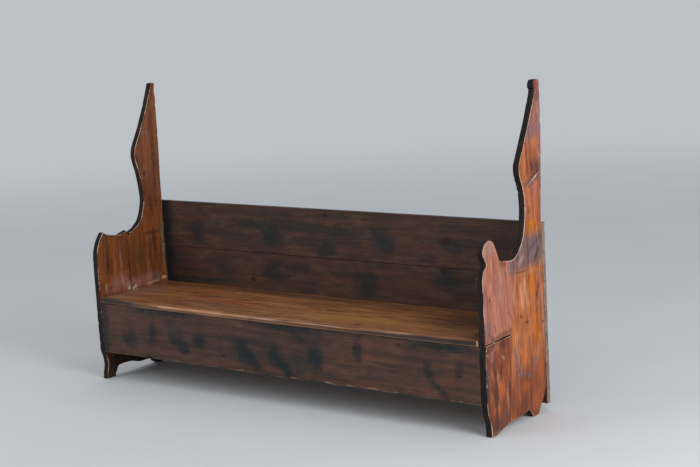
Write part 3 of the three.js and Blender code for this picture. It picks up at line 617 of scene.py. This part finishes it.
right_rear_marks = [
    (HONEY, (0.07, 0.5), (0.4, 0.135), 0.0, 0.8, 0.6),
    (tone(130, 62, 33), (0.12, 0.1), (0.4, 0.23), 0.0, 0.9, 0.3),
    (tone(192, 126, 100), (-0.02, 0.53), (0.035, 0.12), 0.0, 0.8, 0.1),
    (tone(214, 146, 106), (0.06, 0.54), (0.045, 0.1), 0.0, 0.85, 0.3),
    (AMBER, (0.13, 0.56), (0.032, 0.06), 0.0, 0.95, 0.5),
    (AMBER, (0.16, 0.38), (0.038, 0.1), 0.0, 0.95, 0.5),
    (tone(190, 102, 50), (0.06, 0.29), (0.05, 0.075), 0.0, 0.85, 0.3),
    (tone(182, 88, 36), (0.05, 0.15), (0.065, 0.035), 0.0, 0.8, 0.1),
    (tone(172, 88, 30), (0.185, 0.19), (0.035, 0.07), 0.0, 0.85, 0.3),
    (tone(170, 116, 98), (0.208, 0.46), (0.014, 0.2), 0.0, 0.8, 0.4),
    (tone(98, 52, 36), (0.04, 0.08), (0.05, 0.06), 0.0, 0.7, 0.3),
    (tone(172, 88, 44), (0.14, 0.07), (0.06, 0.06), 0.0, 0.75, 0.2),
    (tone(150, 82, 34), (0.19, 0.13), (0.03, 0.08), 0.0, 0.7, 0.2),
    (tone(186, 108, 66), (0.005, 0.1), (0.01, 0.08), 0.0, 0.7, 0.3),
    (LILAC, (-0.018, 0.29), (0.014, 0.05), 0.2, 0.85, 0.5),
    (LILAC, (0.01, 0.218), (0.026, 0.03), -0.3, 0.9, 0.5),
    (LILAC, (0.09, 0.19), (0.03, 0.013), 0.45, 0.9, 0.5),
    (LILAC, (0.136, 0.232), (0.011, 0.038), -0.3, 0.85, 0.5),
    (tone(136, 96, 92), (0.05, 0.196), (0.034, 0.01), -0.2, 0.6, 0.2),
    (tone(136, 96, 92), (0.122, 0.204), (0.016, 0.016), -0.6, 0.6, 0.2),
    (tone(136, 96, 92), (-0.008, 0.25), (0.014, 0.03), 0.3, 0.6, 0.2),
    (tone(96, 50, 44), (0.005, 0.225), (0.008, 0.012), 0.0, 0.8, 0.5),
    (tone(96, 50, 44), (0.1, 0.192), (0.012, 0.006), 0.0, 0.8, 0.5),
    (LILAC, (0.15, 0.485), (0.012, 0.05), -0.6, 0.6, 0.3),
    (tone(104, 52, 36), (0.17, 0.5), (0.018, 0.06), -0.35, 0.65, 0.0),
    (tone(84, 42, 38), (0.18, 0.545), (0.016, 0.05), -0.2, 0.85, 0.2),
    (tone(112, 68, 62), (0.165, 0.455), (0.009, 0.04), -0.5, 0.7, 0.2),
    (SMOKE, (0.035, 0.445), (0.014, 0.01), 0.0, 0.85, 0.5),
    (SMOKE, (0.08, 0.415), (0.022, 0.007), 0.0, 0.8, 0.5),
    (SMOKE, (0.02, 0.27), (0.007, 0.03), 0.0, 0.8, 0.5),
    (tone(124, 97, 95), (0.1, 0.705), (0.6, 0.084), 0.06, 0.97, 0.5),
    (tone(92, 72, 74), (0.15, 0.725), (0.09, 0.018), 0.5, 0.75, 0.2),
    (tone(66, 48, 50), (0.17, 0.675), (0.06, 0.015), 0.8, 0.8, 0.2),
    (tone(156, 130, 126), (0.05, 0.68), (0.05, 0.018), 0.5, 0.7, 0.3),
    (tone(78, 58, 58), (0.05, 0.63), (0.08, 0.0045), -0.06, 0.75, 0.2),
    (tone(78, 58, 58), (0.16, 0.64), (0.05, 0.004), 0.1, 0.55, 0.1),
    (tone(190, 150, 126), (0.1, 0.618), (0.12, 0.004), 0.0, 0.45, 0.2),
    (tone(182, 104, 66), (0.17, 0.895), (0.4, 0.1), 0.0, 0.92, 0.6),
    (tone(200, 112, 10), (0.145, 0.812), (0.05, 0.026), 0.0, 0.95, 0.5),
    (tone(138, 72, 26), (0.128, 0.87), (0.02, 0.022), 0.0, 0.85, 0.3),
    (tone(176, 124, 112), (0.105, 0.9), (0.008, 0.07), 0.0, 0.7, 0.3),
    (tone(150, 82, 50), (0.17, 1.06), (0.4, 0.1), 0.0, 0.7, 0.4),
    (tone(186, 110, 68), (0.1, 1.05), (0.032, 0.08), 0.0, 0.8, 0.3),
    (tone(164, 94, 64), (0.135, 1.11), (0.045, 0.05), 0.0, 0.75, 0.2),
    (tone(168, 104, 92), (0.19, 0.955), (0.05, 0.03), 0.3, 0.6, 0.1),
    (tone(112, 78, 78), (0.17, 0.998), (0.12, 0.026), 0.35, 0.7, 0.2),
    (tone(150, 94, 84), (0.2, 1.29), (0.4, 0.15), 0.0, 0.92, 0.7),
    (tone(134, 104, 108), (0.18, 1.2), (0.4, 0.055), 0.1, 0.6, 0.0),
    (tone(166, 120, 114), (0.23, 1.12), (0.024, 0.32), 0.0, 0.8, 0.4),
    (tone(84, 56, 52), (0.2, 1.05), (0.05, 0.05), 0.4, 0.75, 0.0),
    (tone(64, 42, 40), (0.165, 1.035), (0.02, 0.035), 0.3, 0.7, 0.0),
    (tone(62, 40, 42), (0.17, 1.014), (0.065, 0.007), 0.42, 0.75, 0.2),
    (tone(232, 214, 208), (0.177, 0.998), (0.075, 0.0046), 0.42, 0.95, 0.3),
    (tone(126, 54, 34), (0.135, 1.125), (0.008, 0.035), 0.0, 0.8, 0.3),
    (tone(136, 58, 34), (0.152, 1.06), (0.012, 0.05), 0.0, 0.75, 0.1),
    (tone(146, 128, 104), (0.195, 1.25), (0.008, 0.03), 0.0, 0.6, 0.2),
    (tone(134, 60, 50), (0.205, 1.38), (0.03, 0.035), 0.0, 0.8, 0.4),
]
end_plank(
    "right_rear_plank", "end_right_rear", seed=14, side=1, pith=(-0.8, 0.075, 1.18), ring=0.0105,
    tints=(tone(194, 122, 78), HONEY), figured=0.5, outer_marks=right_rear_marks, inner_marks=waxed_marks,
    knots=[(0.515, 0.172, 0.008), (1.045, 0.165, 0.008)], shape=neck_scratch,
)

# Back boards
# Three wide pine boards nailed to the rear edges of the ends, stained dark red brown. Old stain has
# gone blue black in blotches, and their sawn ends are bleached like the outside of the ends.
RED_BROWN = tone(80, 49, 38)
DULL_BROWN = tone(60, 42, 34)
BLUE_BLACK = tone(27, 34, 37)
OLD_BLACK = tone(26, 21, 19)
BLOT_SPREAD = 1.3
WHOLE_DEPTH = 9
SPLIT_WIDTH = 0.0016
BARE_END = 0.004


def dark_finish(name, pith, blots, knots, red=RED_BROWN, brown=DULL_BROWN, splits=()):
    """Dark stained pine with blue-black blots, each (x, z, half length, half height, turn, strength), and
    hairline splits, each (x, z, half length, turn). Both go right through the board."""
    material, place = new_finish(name)
    grain = pine_grain(place, "XZY", pith, 0.008, knots)
    mottle = place.plus((7, 1, pith[1])).times((10, 24, 26)).noise(3)
    cloud = place.plus((0, 0, pith[1])).times((7, 7, 10)).noise(4)
    colour = layered(grain["streaks"].between(red, brown), [
        (grain["figure"] * 0.3, tone(46, 36, 32)),
        (grain["flame"] * 0.2, tone(98, 72, 60)),
        (grain["rings"] * 0.18, tone(38, 25, 21)),
        (mottle.rise(0.5, 0.7) * 0.4, tone(84, 72, 56)),
        (mottle.rise(0.5, 0.3) * 0.4, tone(46, 47, 47)),
        (cloud.rise(0.53, 0.72) * 0.5, tone(40, 44, 44)),
        (cloud.rise(0.44, 0.3) * 0.4, tone(88, 50, 40)),
    ])
    field = ragged_place(place, 0.012, (34, 34, 34), 1.1)
    for x, z, wide, high, turn, strength in blots:
        size = (BLOT_SPREAD * wide, WHOLE_DEPTH, BLOT_SPREAD * high)
        colour = mark(colour, field, BLUE_BLACK, (x, 0, z), size, (0, turn, 0), strength, 0.25)
    bare_end = place.axes()[0].size().rise(CAD_RIGHT[1].x - BARE_END, CAD_RIGHT[1].x - 1.5 * MILLIMETRE)
    colour = layered(colour, [
        (grain["pores"] * 0.45, OLD_BLACK),
        (grain["knots"] * 0.8, tone(46, 24, 20)),
        (grain["knot_rings"] * 0.7, tone(22, 16, 14)),
        (bare_end, (grain["figure"] * 0.5).between(tone(142, 116, 102), tone(84, 64, 58))),
    ])
    height = grain["rings"] * 0.6 + grain["fibre"] * 0.9 - grain["knot_rings"] * 0.5
    crack = None
    for x, z, long, turn in splits:
        line = place.reach((x, 0, z), (long, WHOLE_DEPTH, SPLIT_WIDTH), (0, turn, 0)).rise(1.0, 0.4)
        crack = line if crack is None else crack.larger(line)
    if crack is not None:
        colour = (crack * 0.9).between(colour, tone(12, 9, 8))
        height = height - crack * 2
    rubbed = (edge_wear(place) + grain["fibre"] * 0.6).rise(0.8, 1.15)
    colour = (rubbed * 0.75).between(colour, tone(172, 140, 120))
    roughness = 0.5 + grain["streaks"] * 0.14 + rubbed * 0.15
    return varnish(material, colour, roughness, height, gloss=0.2)


top_blots = [
    (-0.84, 0.66, 0.06, 0.07, 0.0, 0.6), (-0.36, 0.67, 0.09, 0.06, 0.1, 0.85),
    (-0.5, 0.72, 0.13, 0.025, -0.1, 0.6), (-0.1, 0.712, 0.3, 0.028, 0.03, 0.65),
    (0.3, 0.68, 0.09, 0.05, 0.6, 0.8), (-0.05, 0.625, 0.08, 0.045, 0.0, 0.7),
    (0.66, 0.675, 0.08, 0.04, 0.0, 0.7), (0.53, 0.61, 0.05, 0.03, 0.0, 0.5),
    # The tall narrow blot at x -1.06 darkens the board in a strip down its left end, beside the left end
    # plank.
    (-1.06, 0.7, 0.055, 0.3, 0.0, 0.95),
]
middle_blots = [
    (-0.36, 0.49, 0.07, 0.07, 0.4, 0.7), (-0.68, 0.5, 0.12, 0.04, 0.0, 0.5),
    (-0.22, 0.52, 0.09, 0.035, 0.0, 0.55), (0.18, 0.48, 0.075, 0.07, 0.2, 0.8),
    # The tall narrow blot at x -1.06 darkens the board in a strip down its left end, beside the left end
    # plank.
    (0.61, 0.53, 0.06, 0.06, 0.0, 0.7), (-1.06, 0.5, 0.055, 0.3, 0.0, 0.95),
    (-0.85, 0.42, 0.2, 0.02, 0.0, 0.6), (0.85, 0.46, 0.1, 0.03, 0.0, 0.5),
]
bottom_blots = [
    (-0.7, 0.2, 0.1, 0.07, 0.2, 0.7), (0.1, 0.25, 0.12, 0.06, 0.0, 0.7), (0.75, 0.15, 0.09, 0.06, 0.4, 0.7),
]
BACK_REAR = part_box("back_top")[1].y
BACK_CUTS = (0.012, 0.011)
TOP_RUBBED, SEAMS_RUBBED = (-0.95, -0.4), (-0.9, 0.95)
TOP_EDGE_BAND, RUB_REACH = 0.01, 6


def flush_end(face, spot):
    """True where the sawn end of a board finishes flush against the outer face of an end plank."""
    return abs(face.normal.x) > 0.9 and spot.y < BACK_REAR - 4 * MILLIMETRE


def rubbed_top(spot, normal, distance):
    """The upper front arris of a back board, rubbed where it stands a little proud."""
    low, high = TOP_RUBBED if spot.z > BACK_TOP - TOP_EDGE_BAND else SEAMS_RUBBED
    if normal.y > 0 or distance > RUB_REACH or not low < spot.x < high or normal.z < -0.1:
        return 0, 0
    uneven = 0.75 + 0.5 * noise.noise(Vector((spot.x * 8, 4.1, spot.z)))
    return 0, uneven * fade(distance, 3)


for seed, (name, node, pith, blots, knots) in enumerate([
    ("top_back_board", "back_top", (2.0, 0.72, 0.3), top_blots, [(-0.04, 0.775, 0.008), (0.62, 0.7, 0.012)]),
    (
        "middle_back_board", "back_middle", (-2.2, 0.42, 0.31), middle_blots,
        [(0.6, 0.565, 0.011), (-0.5, 0.45, 0.01)],
    ), (
        "bottom_back_board", "back_bottom", (1.2, 0.2, 0.17), bottom_blots,
        [(-0.3, 0.14, 0.013), (0.5, 0.25, 0.011)],
    ),
]):
    board = worn_copy(
        name, node, X, Z, BACK_CUTS, 30 + seed, arris=0.7, chips=1.8, quiet=flush_end, shape=rubbed_top
    )
    fit(board, "bench", node, dark_finish("stained_" + name, pith, blots, knots))

# Front board
# One deep board let in between the ends, stained like the back. Its lower edge is split and chipped
# where feet and brooms have knocked it for two hundred years.
front_blots = [
    (-0.89, 0.22, 0.055, 0.04, 0.2, 0.85), (-0.74, 0.26, 0.03, 0.06, 0.1, 0.7),
    (-0.56, 0.22, 0.085, 0.034, 0.6, 0.85), (-0.44, 0.25, 0.05, 0.04, 0.1, 0.95),
    (-0.18, 0.23, 0.05, 0.065, -0.3, 0.95), (-0.12, 0.18, 0.07, 0.035, 0.6, 0.9),
    (0.0, 0.24, 0.045, 0.055, -0.2, 0.9), (0.06, 0.18, 0.08, 0.035, 0.6, 0.95),
    (0.23, 0.245, 0.045, 0.07, 0.1, 0.95), (0.46, 0.3, 0.028, 0.07, 0.0, 0.75),
    (0.82, 0.25, 0.025, 0.05, -0.2, 0.7), (0.87, 0.18, 0.06, 0.02, 0.6, 0.7),
    # The three long thin blots about 0.365 high, just under the seat, are partly dark stain and partly
    # painted shadow of the seat's front edge.
    (0.97, 0.27, 0.025, 0.05, 0.1, 0.6), (-0.6, 0.37, 0.18, 0.022, 0.0, 0.7),
    (0.07, 0.365, 0.22, 0.022, 0.0, 0.75), (0.9, 0.362, 0.18, 0.02, 0.0, 0.85),
    # The tall narrow blot at x -1.06 darkens the board in a strip down its left end, beside the left end
    # plank.
    (-1.06, 0.3, 0.035, 0.3, 0.0, 0.8), (0.15, 0.33, 0.05, 0.025, 0.4, 0.5),
    (-0.62, 0.26, 0.4, 0.14, 0.0, 0.3), (0.05, 0.27, 0.35, 0.14, 0.0, 0.3),
]
front_splits = [
    (0.9, 0.362, 0.14, 0.0), (0.86, 0.352, 0.1, 0.02), (0.97, 0.345, 0.06, -0.02), (-0.98, 0.366, 0.09, 0.0),
    (-0.35, 0.36, 0.07, 0.0), (0.35, 0.16, 0.16, 0.02), (0.62, 0.25, 0.08, 0.0), (-0.7, 0.155, 0.12, -0.02),
]
front_finish = dark_finish(
    "stained_front_board", (1.8, 0.3, -0.34), front_blots,
    [(0.674, 0.345, 0.007), (0.97, 0.24, 0.006), (0.45, 0.31, 0.006), (-0.3, 0.2, 0.006)],
    tone(96, 61, 48), tone(72, 52, 42), front_splits,
)
FRONT_FOOT, FRONT_TOP = (corner.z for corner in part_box("front_board"))
TOP_BAND = 0.008
DARK_FROM = -0.85
KICKED_HEIGHT = 26


def kicked_edge(spot, normal, distance):
    """Splits and chips along the lower edge of the front board. Its upper edge stayed dark."""
    height = (spot.z - FRONT_FOOT) / MILLIMETRE
    if spot.z > FRONT_TOP - TOP_BAND:
        return 0, 0.1 if spot.x < DARK_FROM else -0.5
    if height > KICKED_HEIGHT:
        return 0, 0
    bite = max(0, noise.noise(Vector((spot.x * 16, 3.7, 1.2))) - 0.1)
    split = bite * 2.4 * fade(height, 9)
    pale = 0.75 * fade(height, 3) * (0.85 + 0.7 * noise.noise(Vector((spot.x * 9, 1.3, 5.1))))
    return (2.6 * split if normal.y < 0.3 else 0), split + max(0, pale)


front = worn_copy(
    "front_apron_board", "front_board", X, Z, (0.009, 0.011), 41, arris=1.2, chips=3.0, shape=kicked_edge
)
fit(front, "bench", "front_board", front_finish)

# Seat plank
# One wide pine plank that lifts as the lid of the chest. Two centuries of sitting have rubbed it golden
# and worn its front edge round and pale, except near both ends. The pale line along the round is partly a
# painted highlight.
SEAT_LOW, SEAT_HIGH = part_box("seat_lid")
WORN_MIDDLE = -0.12
LEFT_STAIN, RIGHT_STAIN = (-0.76, -0.9), (0.25, 0.55)
seat_finish, place = new_finish("rubbed_seat_pine")
knots = [(0.435, -0.2, 0.012), (0.475, 0.1, 0.009), (-0.7, 0.03, 0.01)]
grain = pine_grain(place, "XYZ", (-1.6, -0.02, 0.3), 0.009, knots)
field = ragged_place(place, 0.02, (14, 60, 60))
colour = layered(grain["streaks"].between(tone(158, 102, 60), tone(112, 70, 42)), [
    (grain["broad"] * 0.5, tone(168, 114, 62)),
    (grain["figure"] * 0.55, tone(84, 52, 34)),
    (grain["flame"] * 0.35, tone(186, 132, 84)),
    (grain["rings"] * 0.5, tone(72, 43, 26)),
])
for x, y, wide, deep, turn, strength, patch_colour in [
    (0.35, -0.12, 0.6, 0.09, 0.0, 0.5, tone(176, 124, 66)),
    (-0.75, 0.05, 0.25, 0.1, 0.1, 0.55, tone(142, 74, 42)),
    # Painted shade: the long dark band along the rear of the seat darkens it where it meets the back boards.
    (-0.2, 0.17, 1.2, 0.06, 0.0, 0.75, tone(76, 48, 32)),
    (0.9, 0.05, 0.3, 0.2, 0.0, 0.75, tone(78, 54, 38)),
    (1.04, -0.1, 0.08, 0.22, 0.0, 0.8, tone(50, 38, 31)),
    (-0.98, -0.05, 0.16, 0.2, 0.0, 0.55, tone(132, 98, 86)),
    (0.1, -0.02, 0.3, 0.012, 0.02, 0.5, tone(86, 52, 30)),
    (-0.4, -0.1, 0.25, 0.02, -0.04, 0.4, tone(96, 62, 46)),
    (0.55, 0.02, 0.2, 0.01, 0.03, 0.5, tone(88, 56, 34)),
    (-0.45, -0.06, 0.35, 0.05, 0.02, 0.5, tone(148, 78, 44)),
    (-0.6, -0.13, 0.2, 0.008, 0.02, 0.6, tone(78, 46, 30)),
    (-0.3, 0.03, 0.25, 0.01, -0.02, 0.5, tone(82, 50, 34)),
    (0.1, -0.13, 0.16, 0.008, 0.03, 0.5, tone(88, 54, 34)),
    (0.12, -0.015, 0.018, 0.006, 0.4, 0.6, tone(190, 152, 116)),
    (-0.32, -0.02, 0.012, 0.014, 0.0, 0.5, tone(184, 132, 90)),
    (-1.05, -0.03, 0.022, 0.03, 0.0, 0.75, tone(186, 166, 142)),
    (-1.03, -0.19, 0.1, 0.05, 0.0, 0.6, tone(142, 104, 92)),
    (-1.0, -0.243, 0.12, 0.008, -0.03, 0.9, tone(54, 45, 42)),
]:
    size = (wide, deep, WHOLE_DEPTH)
    colour = mark(colour, field, patch_colour, (x, y, SEAT_HIGH.z), size, (0, 0, turn), strength, 0.2)
length_axis, depth_axis, height_axis = place.axes()
# The front face below the rounded edge is darkened: dark stain near both ends, and along the middle a low
# band of painted shade under the overhanging nose.
worn_round = (length_axis - WORN_MIDDLE).size().rise(0.85, 0.4)
below_line = (height_axis + worn_round * 0.012).rise(SEAT_HIGH.z - 0.003, SEAT_HIGH.z - 0.006)
both_ends = length_axis.rise(*LEFT_STAIN).larger(length_axis.rise(*RIGHT_STAIN)) * 0.75 + 0.25
stained_and_shaded_front = depth_axis.rise(SEAT_LOW.y + 0.018, SEAT_LOW.y + 0.012) * below_line * both_ends
split = place.reach((-1.0, 0, SEAT_HIGH.z - 0.009), (0.13, WHOLE_DEPTH, 0.0022)).rise(1.0, 0.5)
# Pale worn edges; on the front round this also carries the painted highlight set in sat_on.
rubbed = (edge_wear(place) + grain["fibre"] * 0.4).rise(0.6, 0.95)
underneath = height_axis.rise(SEAT_LOW.z + 0.009, SEAT_LOW.z + 0.003)
colour = layered(colour, [
    (stained_and_shaded_front * 0.92, grain["figure"].between(tone(50, 39, 34), tone(33, 31, 31))),
    (split * 0.9, tone(14, 11, 10)),
    (grain["pores"] * 0.5, tone(56, 34, 22)),
    (grain["knots"] * 0.75, tone(96, 56, 36)),
    (grain["knot_rings"] * 0.7, tone(40, 24, 18)),
    (rubbed * 0.62, tone(206, 162, 134)),
    (underneath * 0.5, tone(128, 102, 78)),
])
height = grain["rings"] * 0.7 + grain["fibre"] * 0.8 - grain["knot_rings"] * 0.5
varnish(seat_finish, colour, 0.38 + grain["streaks"] * 0.14 + rubbed * 0.1, height)
CORNER_WIDTH, CORNER_DEPTH = 0.014, 10
ROUND_HEIGHT, ROUND_DEPTH = 20, 30
PALE_START, PALE_MIDDLE, PALE_HALF_LENGTH = -0.86, -0.1, 0.8
HIGHLIGHT_SLOPE = -0.82


def sat_on(spot, normal, distance):
    """The dish worn by sitters, the pale round of the front edge, partly wear and partly a painted
    highlight, and a corner broken off at the right.
    """
    along = abs(spot.x) / SEAT_HIGH.x
    dish = 1.1 * (1 - along ** 3) * (0.6 + 0.4 * math.cos(spot.x * 7)) * max(0, 2 * normal.z - 1)
    front = (spot.y - SEAT_LOW.y) / MILLIMETRE
    drop = (SEAT_HIGH.z - spot.z) / MILLIMETRE
    if spot.x > SEAT_HIGH.x - CORNER_WIDTH and front < CORNER_DEPTH:
        return 2.5, 0.9
    if drop > ROUND_HEIGHT:
        return 0, -0.6
    if front > ROUND_DEPTH:
        return dish, 0
    middle = max(0, 1 - abs(spot.x - PALE_MIDDLE) / PALE_HALF_LENGTH)
    reach = max(0, min(1, 9 * (spot.x - PALE_START)))
    # Painted highlight: the pale is strongest on the part of the round that faces forward and up, where the
    # light catches it.
    highlight_facing = fade(normal.y - HIGHLIGHT_SLOPE, 0.15) if normal.z > 0 else 0
    return dish, reach * highlight_facing * (0.6 + 0.2 * middle + 0.4 * noise.noise(Vector((spot.x * 7, 2.2, 8.1))))


seat = worn_copy("seat_plank", "seat_lid", X, Y, (0.011, 0.01), 51, arris=0.8, chips=2.0, shape=sat_on)
fit(seat, "lid", "seat_lid", seat_finish)

# Inside of the chest
# Bearers and floor battens nailed inside the ends, three loose bottom boards with a cleat, and the two
# battens that keep the seat flat: dry pine that was never waxed, browned by dust.
inside_finish, place = new_finish("dry_inner_pine")
grain = pine_grain(place, "XYZ", (1.3, 0.07, 0.4), 0.008)
dust = place.times((9, 9, 9)).noise(4).rise(0.45, 0.7)
rubbed = (edge_wear(place) + grain["fibre"] * 0.5).rise(0.75, 1.1)
colour = layered(grain["streaks"].between(tone(150, 116, 84), tone(126, 94, 66)), [
    (grain["rings"] * 0.4, tone(100, 68, 44)),
    (dust * 0.5, tone(104, 88, 74)),
    (grain["pores"] * 0.35, tone(70, 48, 34)),
    (rubbed * 0.5, tone(190, 160, 126)),
])
varnish(inside_finish, colour, 0.7 + dust * 0.15, grain["rings"] * 0.6 + grain["fibre"])

for seed, (name, node, body, along, across) in enumerate([
    ("chest_floor_board_1", "bottom_board_1", "bench", X, Y),
    ("chest_floor_board_2", "bottom_board_2", "bench", X, Y),
    ("chest_floor_board_3", "bottom_board_3", "bench", X, Y),
    ("chest_floor_cleat", "bottom_cleat", "bench", Y, X),
    ("left_seat_bearer", "seat_bearer_left", "bench", Y, Z),
    ("right_seat_bearer", "seat_bearer_right", "bench", Y, Z),
    ("left_floor_batten", "floor_batten_left", "bench", Y, Z),
    ("right_floor_batten", "floor_batten_right", "bench", Y, Z),
    ("left_seat_batten", "lid_batten_left", "lid", Y, X),
    ("right_seat_batten", "lid_batten_right", "lid", Y, X),
]):
    strip = worn_copy(name, node, along, across, (0.02, 0.012), 60 + seed, arris=0.7, chips=1.5)
    fit(strip, body, node, inside_finish)

# Nails and hinge pins
# Square nails and two round pins, forged by hand from wrought iron, blackened and with rust in the
# hollows. The nails join the boards, bearers and battens, and the seat turns on the pins.
iron_finish, place = new_finish("blackened_iron")
rust = place.times((260, 260, 260)).noise(4).rise(0.48, 0.66)
colour = (rust * 0.8).between(tone(44, 40, 38), tone(84, 50, 34))
varnish(iron_finish, colour, 0.55 + rust * 0.3, place.times((700, 700, 700)).noise(3), 0.4, 0.0004)
iron_finish.node_tree.nodes["Principled BSDF"].inputs["Metallic"].default_value = 0.6
for name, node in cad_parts.items():
    if "nail" in name or "pin" in name:
        node.data.materials.clear()
        node.data.materials.append(iron_finish)

# Floor, light and camera
# A plain pale floor that runs into an even pale sky, a large soft lamp on the right and a weaker one on
# the left, and a camera in front of the bench, to the right of it and a little higher.
FLOOR_TONE = tone(206, 209, 212)
SKY_TONE = tone(188, 193, 198)
FLOOR_SIZE = 60
FLOOR_DROP = 0.5 * MILLIMETRE


def backdrop_rays(tree):
    """1 for rays that show the backdrop: from the camera, off gloss or through glass."""
    paths = tree.nodes.new("ShaderNodeLightPath").outputs
    seen, glossy, clear = (Wire(paths[f"Is {kind} Ray"]) for kind in ("Camera", "Glossy", "Transmission"))
    return seen.larger(glossy).larger(clear)


floor_work = bmesh.new()
bmesh.ops.create_grid(floor_work, x_segments=1, y_segments=1, size=FLOOR_SIZE)
floor_mesh = bpy.data.meshes.new("floor")
floor_work.to_mesh(floor_mesh)
floor_work.free()
floor = bpy.data.objects.new("floor", floor_mesh)
floor.location.z = -FLOOR_DROP
bpy.context.scene.collection.objects.link(floor)
floor_finish, place = new_finish("pale_floor")
cloud = place.times((1.5, 1.5, 1.5)).noise(4)
varnish(
    floor_finish, cloud.between(FLOOR_TONE, tone(214, 217, 220)), 0.7 + cloud * 0.1,
    place.times((90, 90, 90)).noise(3), 0.1,
)
floor_tree = floor_finish.node_tree
bare_floor = Wire(floor_tree.nodes["Principled BSDF"].outputs[0])
far_off = place.node("Emission", {}, {"Color": SKY_TONE, "Strength": 1.0})
seen_far = place.length().rise(3.5, 11) * backdrop_rays(floor_tree)
mixed = place.node("MixShader", {}, {0: seen_far, 1: bare_floor, 2: far_off})
floor_tree.links.new(mixed.socket, floor_tree.nodes["Material Output"].inputs["Surface"])
floor_mesh.materials.append(floor_finish)

world = bpy.data.worlds.new("studio")
world.use_nodes = True
bpy.context.scene.world = world
world_tree = world.node_tree
background = world_tree.nodes["Background"]
background.inputs["Color"].default_value = (0.86, 0.9, 0.94, 1)
background.inputs["Strength"].default_value = 0.62
sky = Wire(background.outputs[0])
seen_sky = sky.node("Background", {}, {"Color": SKY_TONE, "Strength": 1.0})
shown = sky.node("MixShader", {}, {0: backdrop_rays(world_tree), 1: sky, 2: seen_sky})
world_tree.links.new(shown.socket, world_tree.nodes["World Output"].inputs["Surface"])


def soft_lamp(name, place, target, size, power, colour):
    """A round lamp that faces a target, with its size in metres and its power in watts."""
    lamp = bpy.data.lights.new(name, "AREA")
    lamp.shape, lamp.size, lamp.energy, lamp.color = "DISK", size, power, colour
    holder = bpy.data.objects.new(name, lamp)
    holder.location = place
    holder.rotation_mode = "QUATERNION"
    holder.rotation_quaternion = (Vector(target) - Vector(place)).to_track_quat("-Z", "Y")
    bpy.context.scene.collection.objects.link(holder)


soft_lamp("key_lamp", (5.4, -1.6, 3.0), (0.2, 0, 0.5), size=2.6, power=190, colour=(1, 0.98, 0.95))
soft_lamp("fill_lamp", (-2.5, -4.5, 2.8), (0, 0, 0.5), size=3.0, power=70, colour=(0.95, 0.97, 1))

CAMERA_PLACE = (4.2988, -5.2764, 1.8586)
CAMERA_TURN = math.radians(37.36)
CAMERA_TILT_DOWN = math.radians(9.476)
CAMERA_ROLL = math.radians(-3.188)
CAMERA_LENS = 79.31
camera_data = bpy.data.cameras.new("camera")
camera_data.lens = CAMERA_LENS
camera = bpy.data.objects.new("camera", camera_data)
camera.matrix_world = (
    Matrix.Translation(CAMERA_PLACE)
    @ Matrix.Rotation(CAMERA_TURN, 4, "Z")
    @ Matrix.Rotation(math.pi / 2 - CAMERA_TILT_DOWN, 4, "X")
    @ Matrix.Rotation(CAMERA_ROLL, 4, "Z")
)
bpy.context.scene.collection.objects.link(camera)
bpy.context.scene.camera = camera
bpy.context.scene.view_settings.view_transform = "Standard"
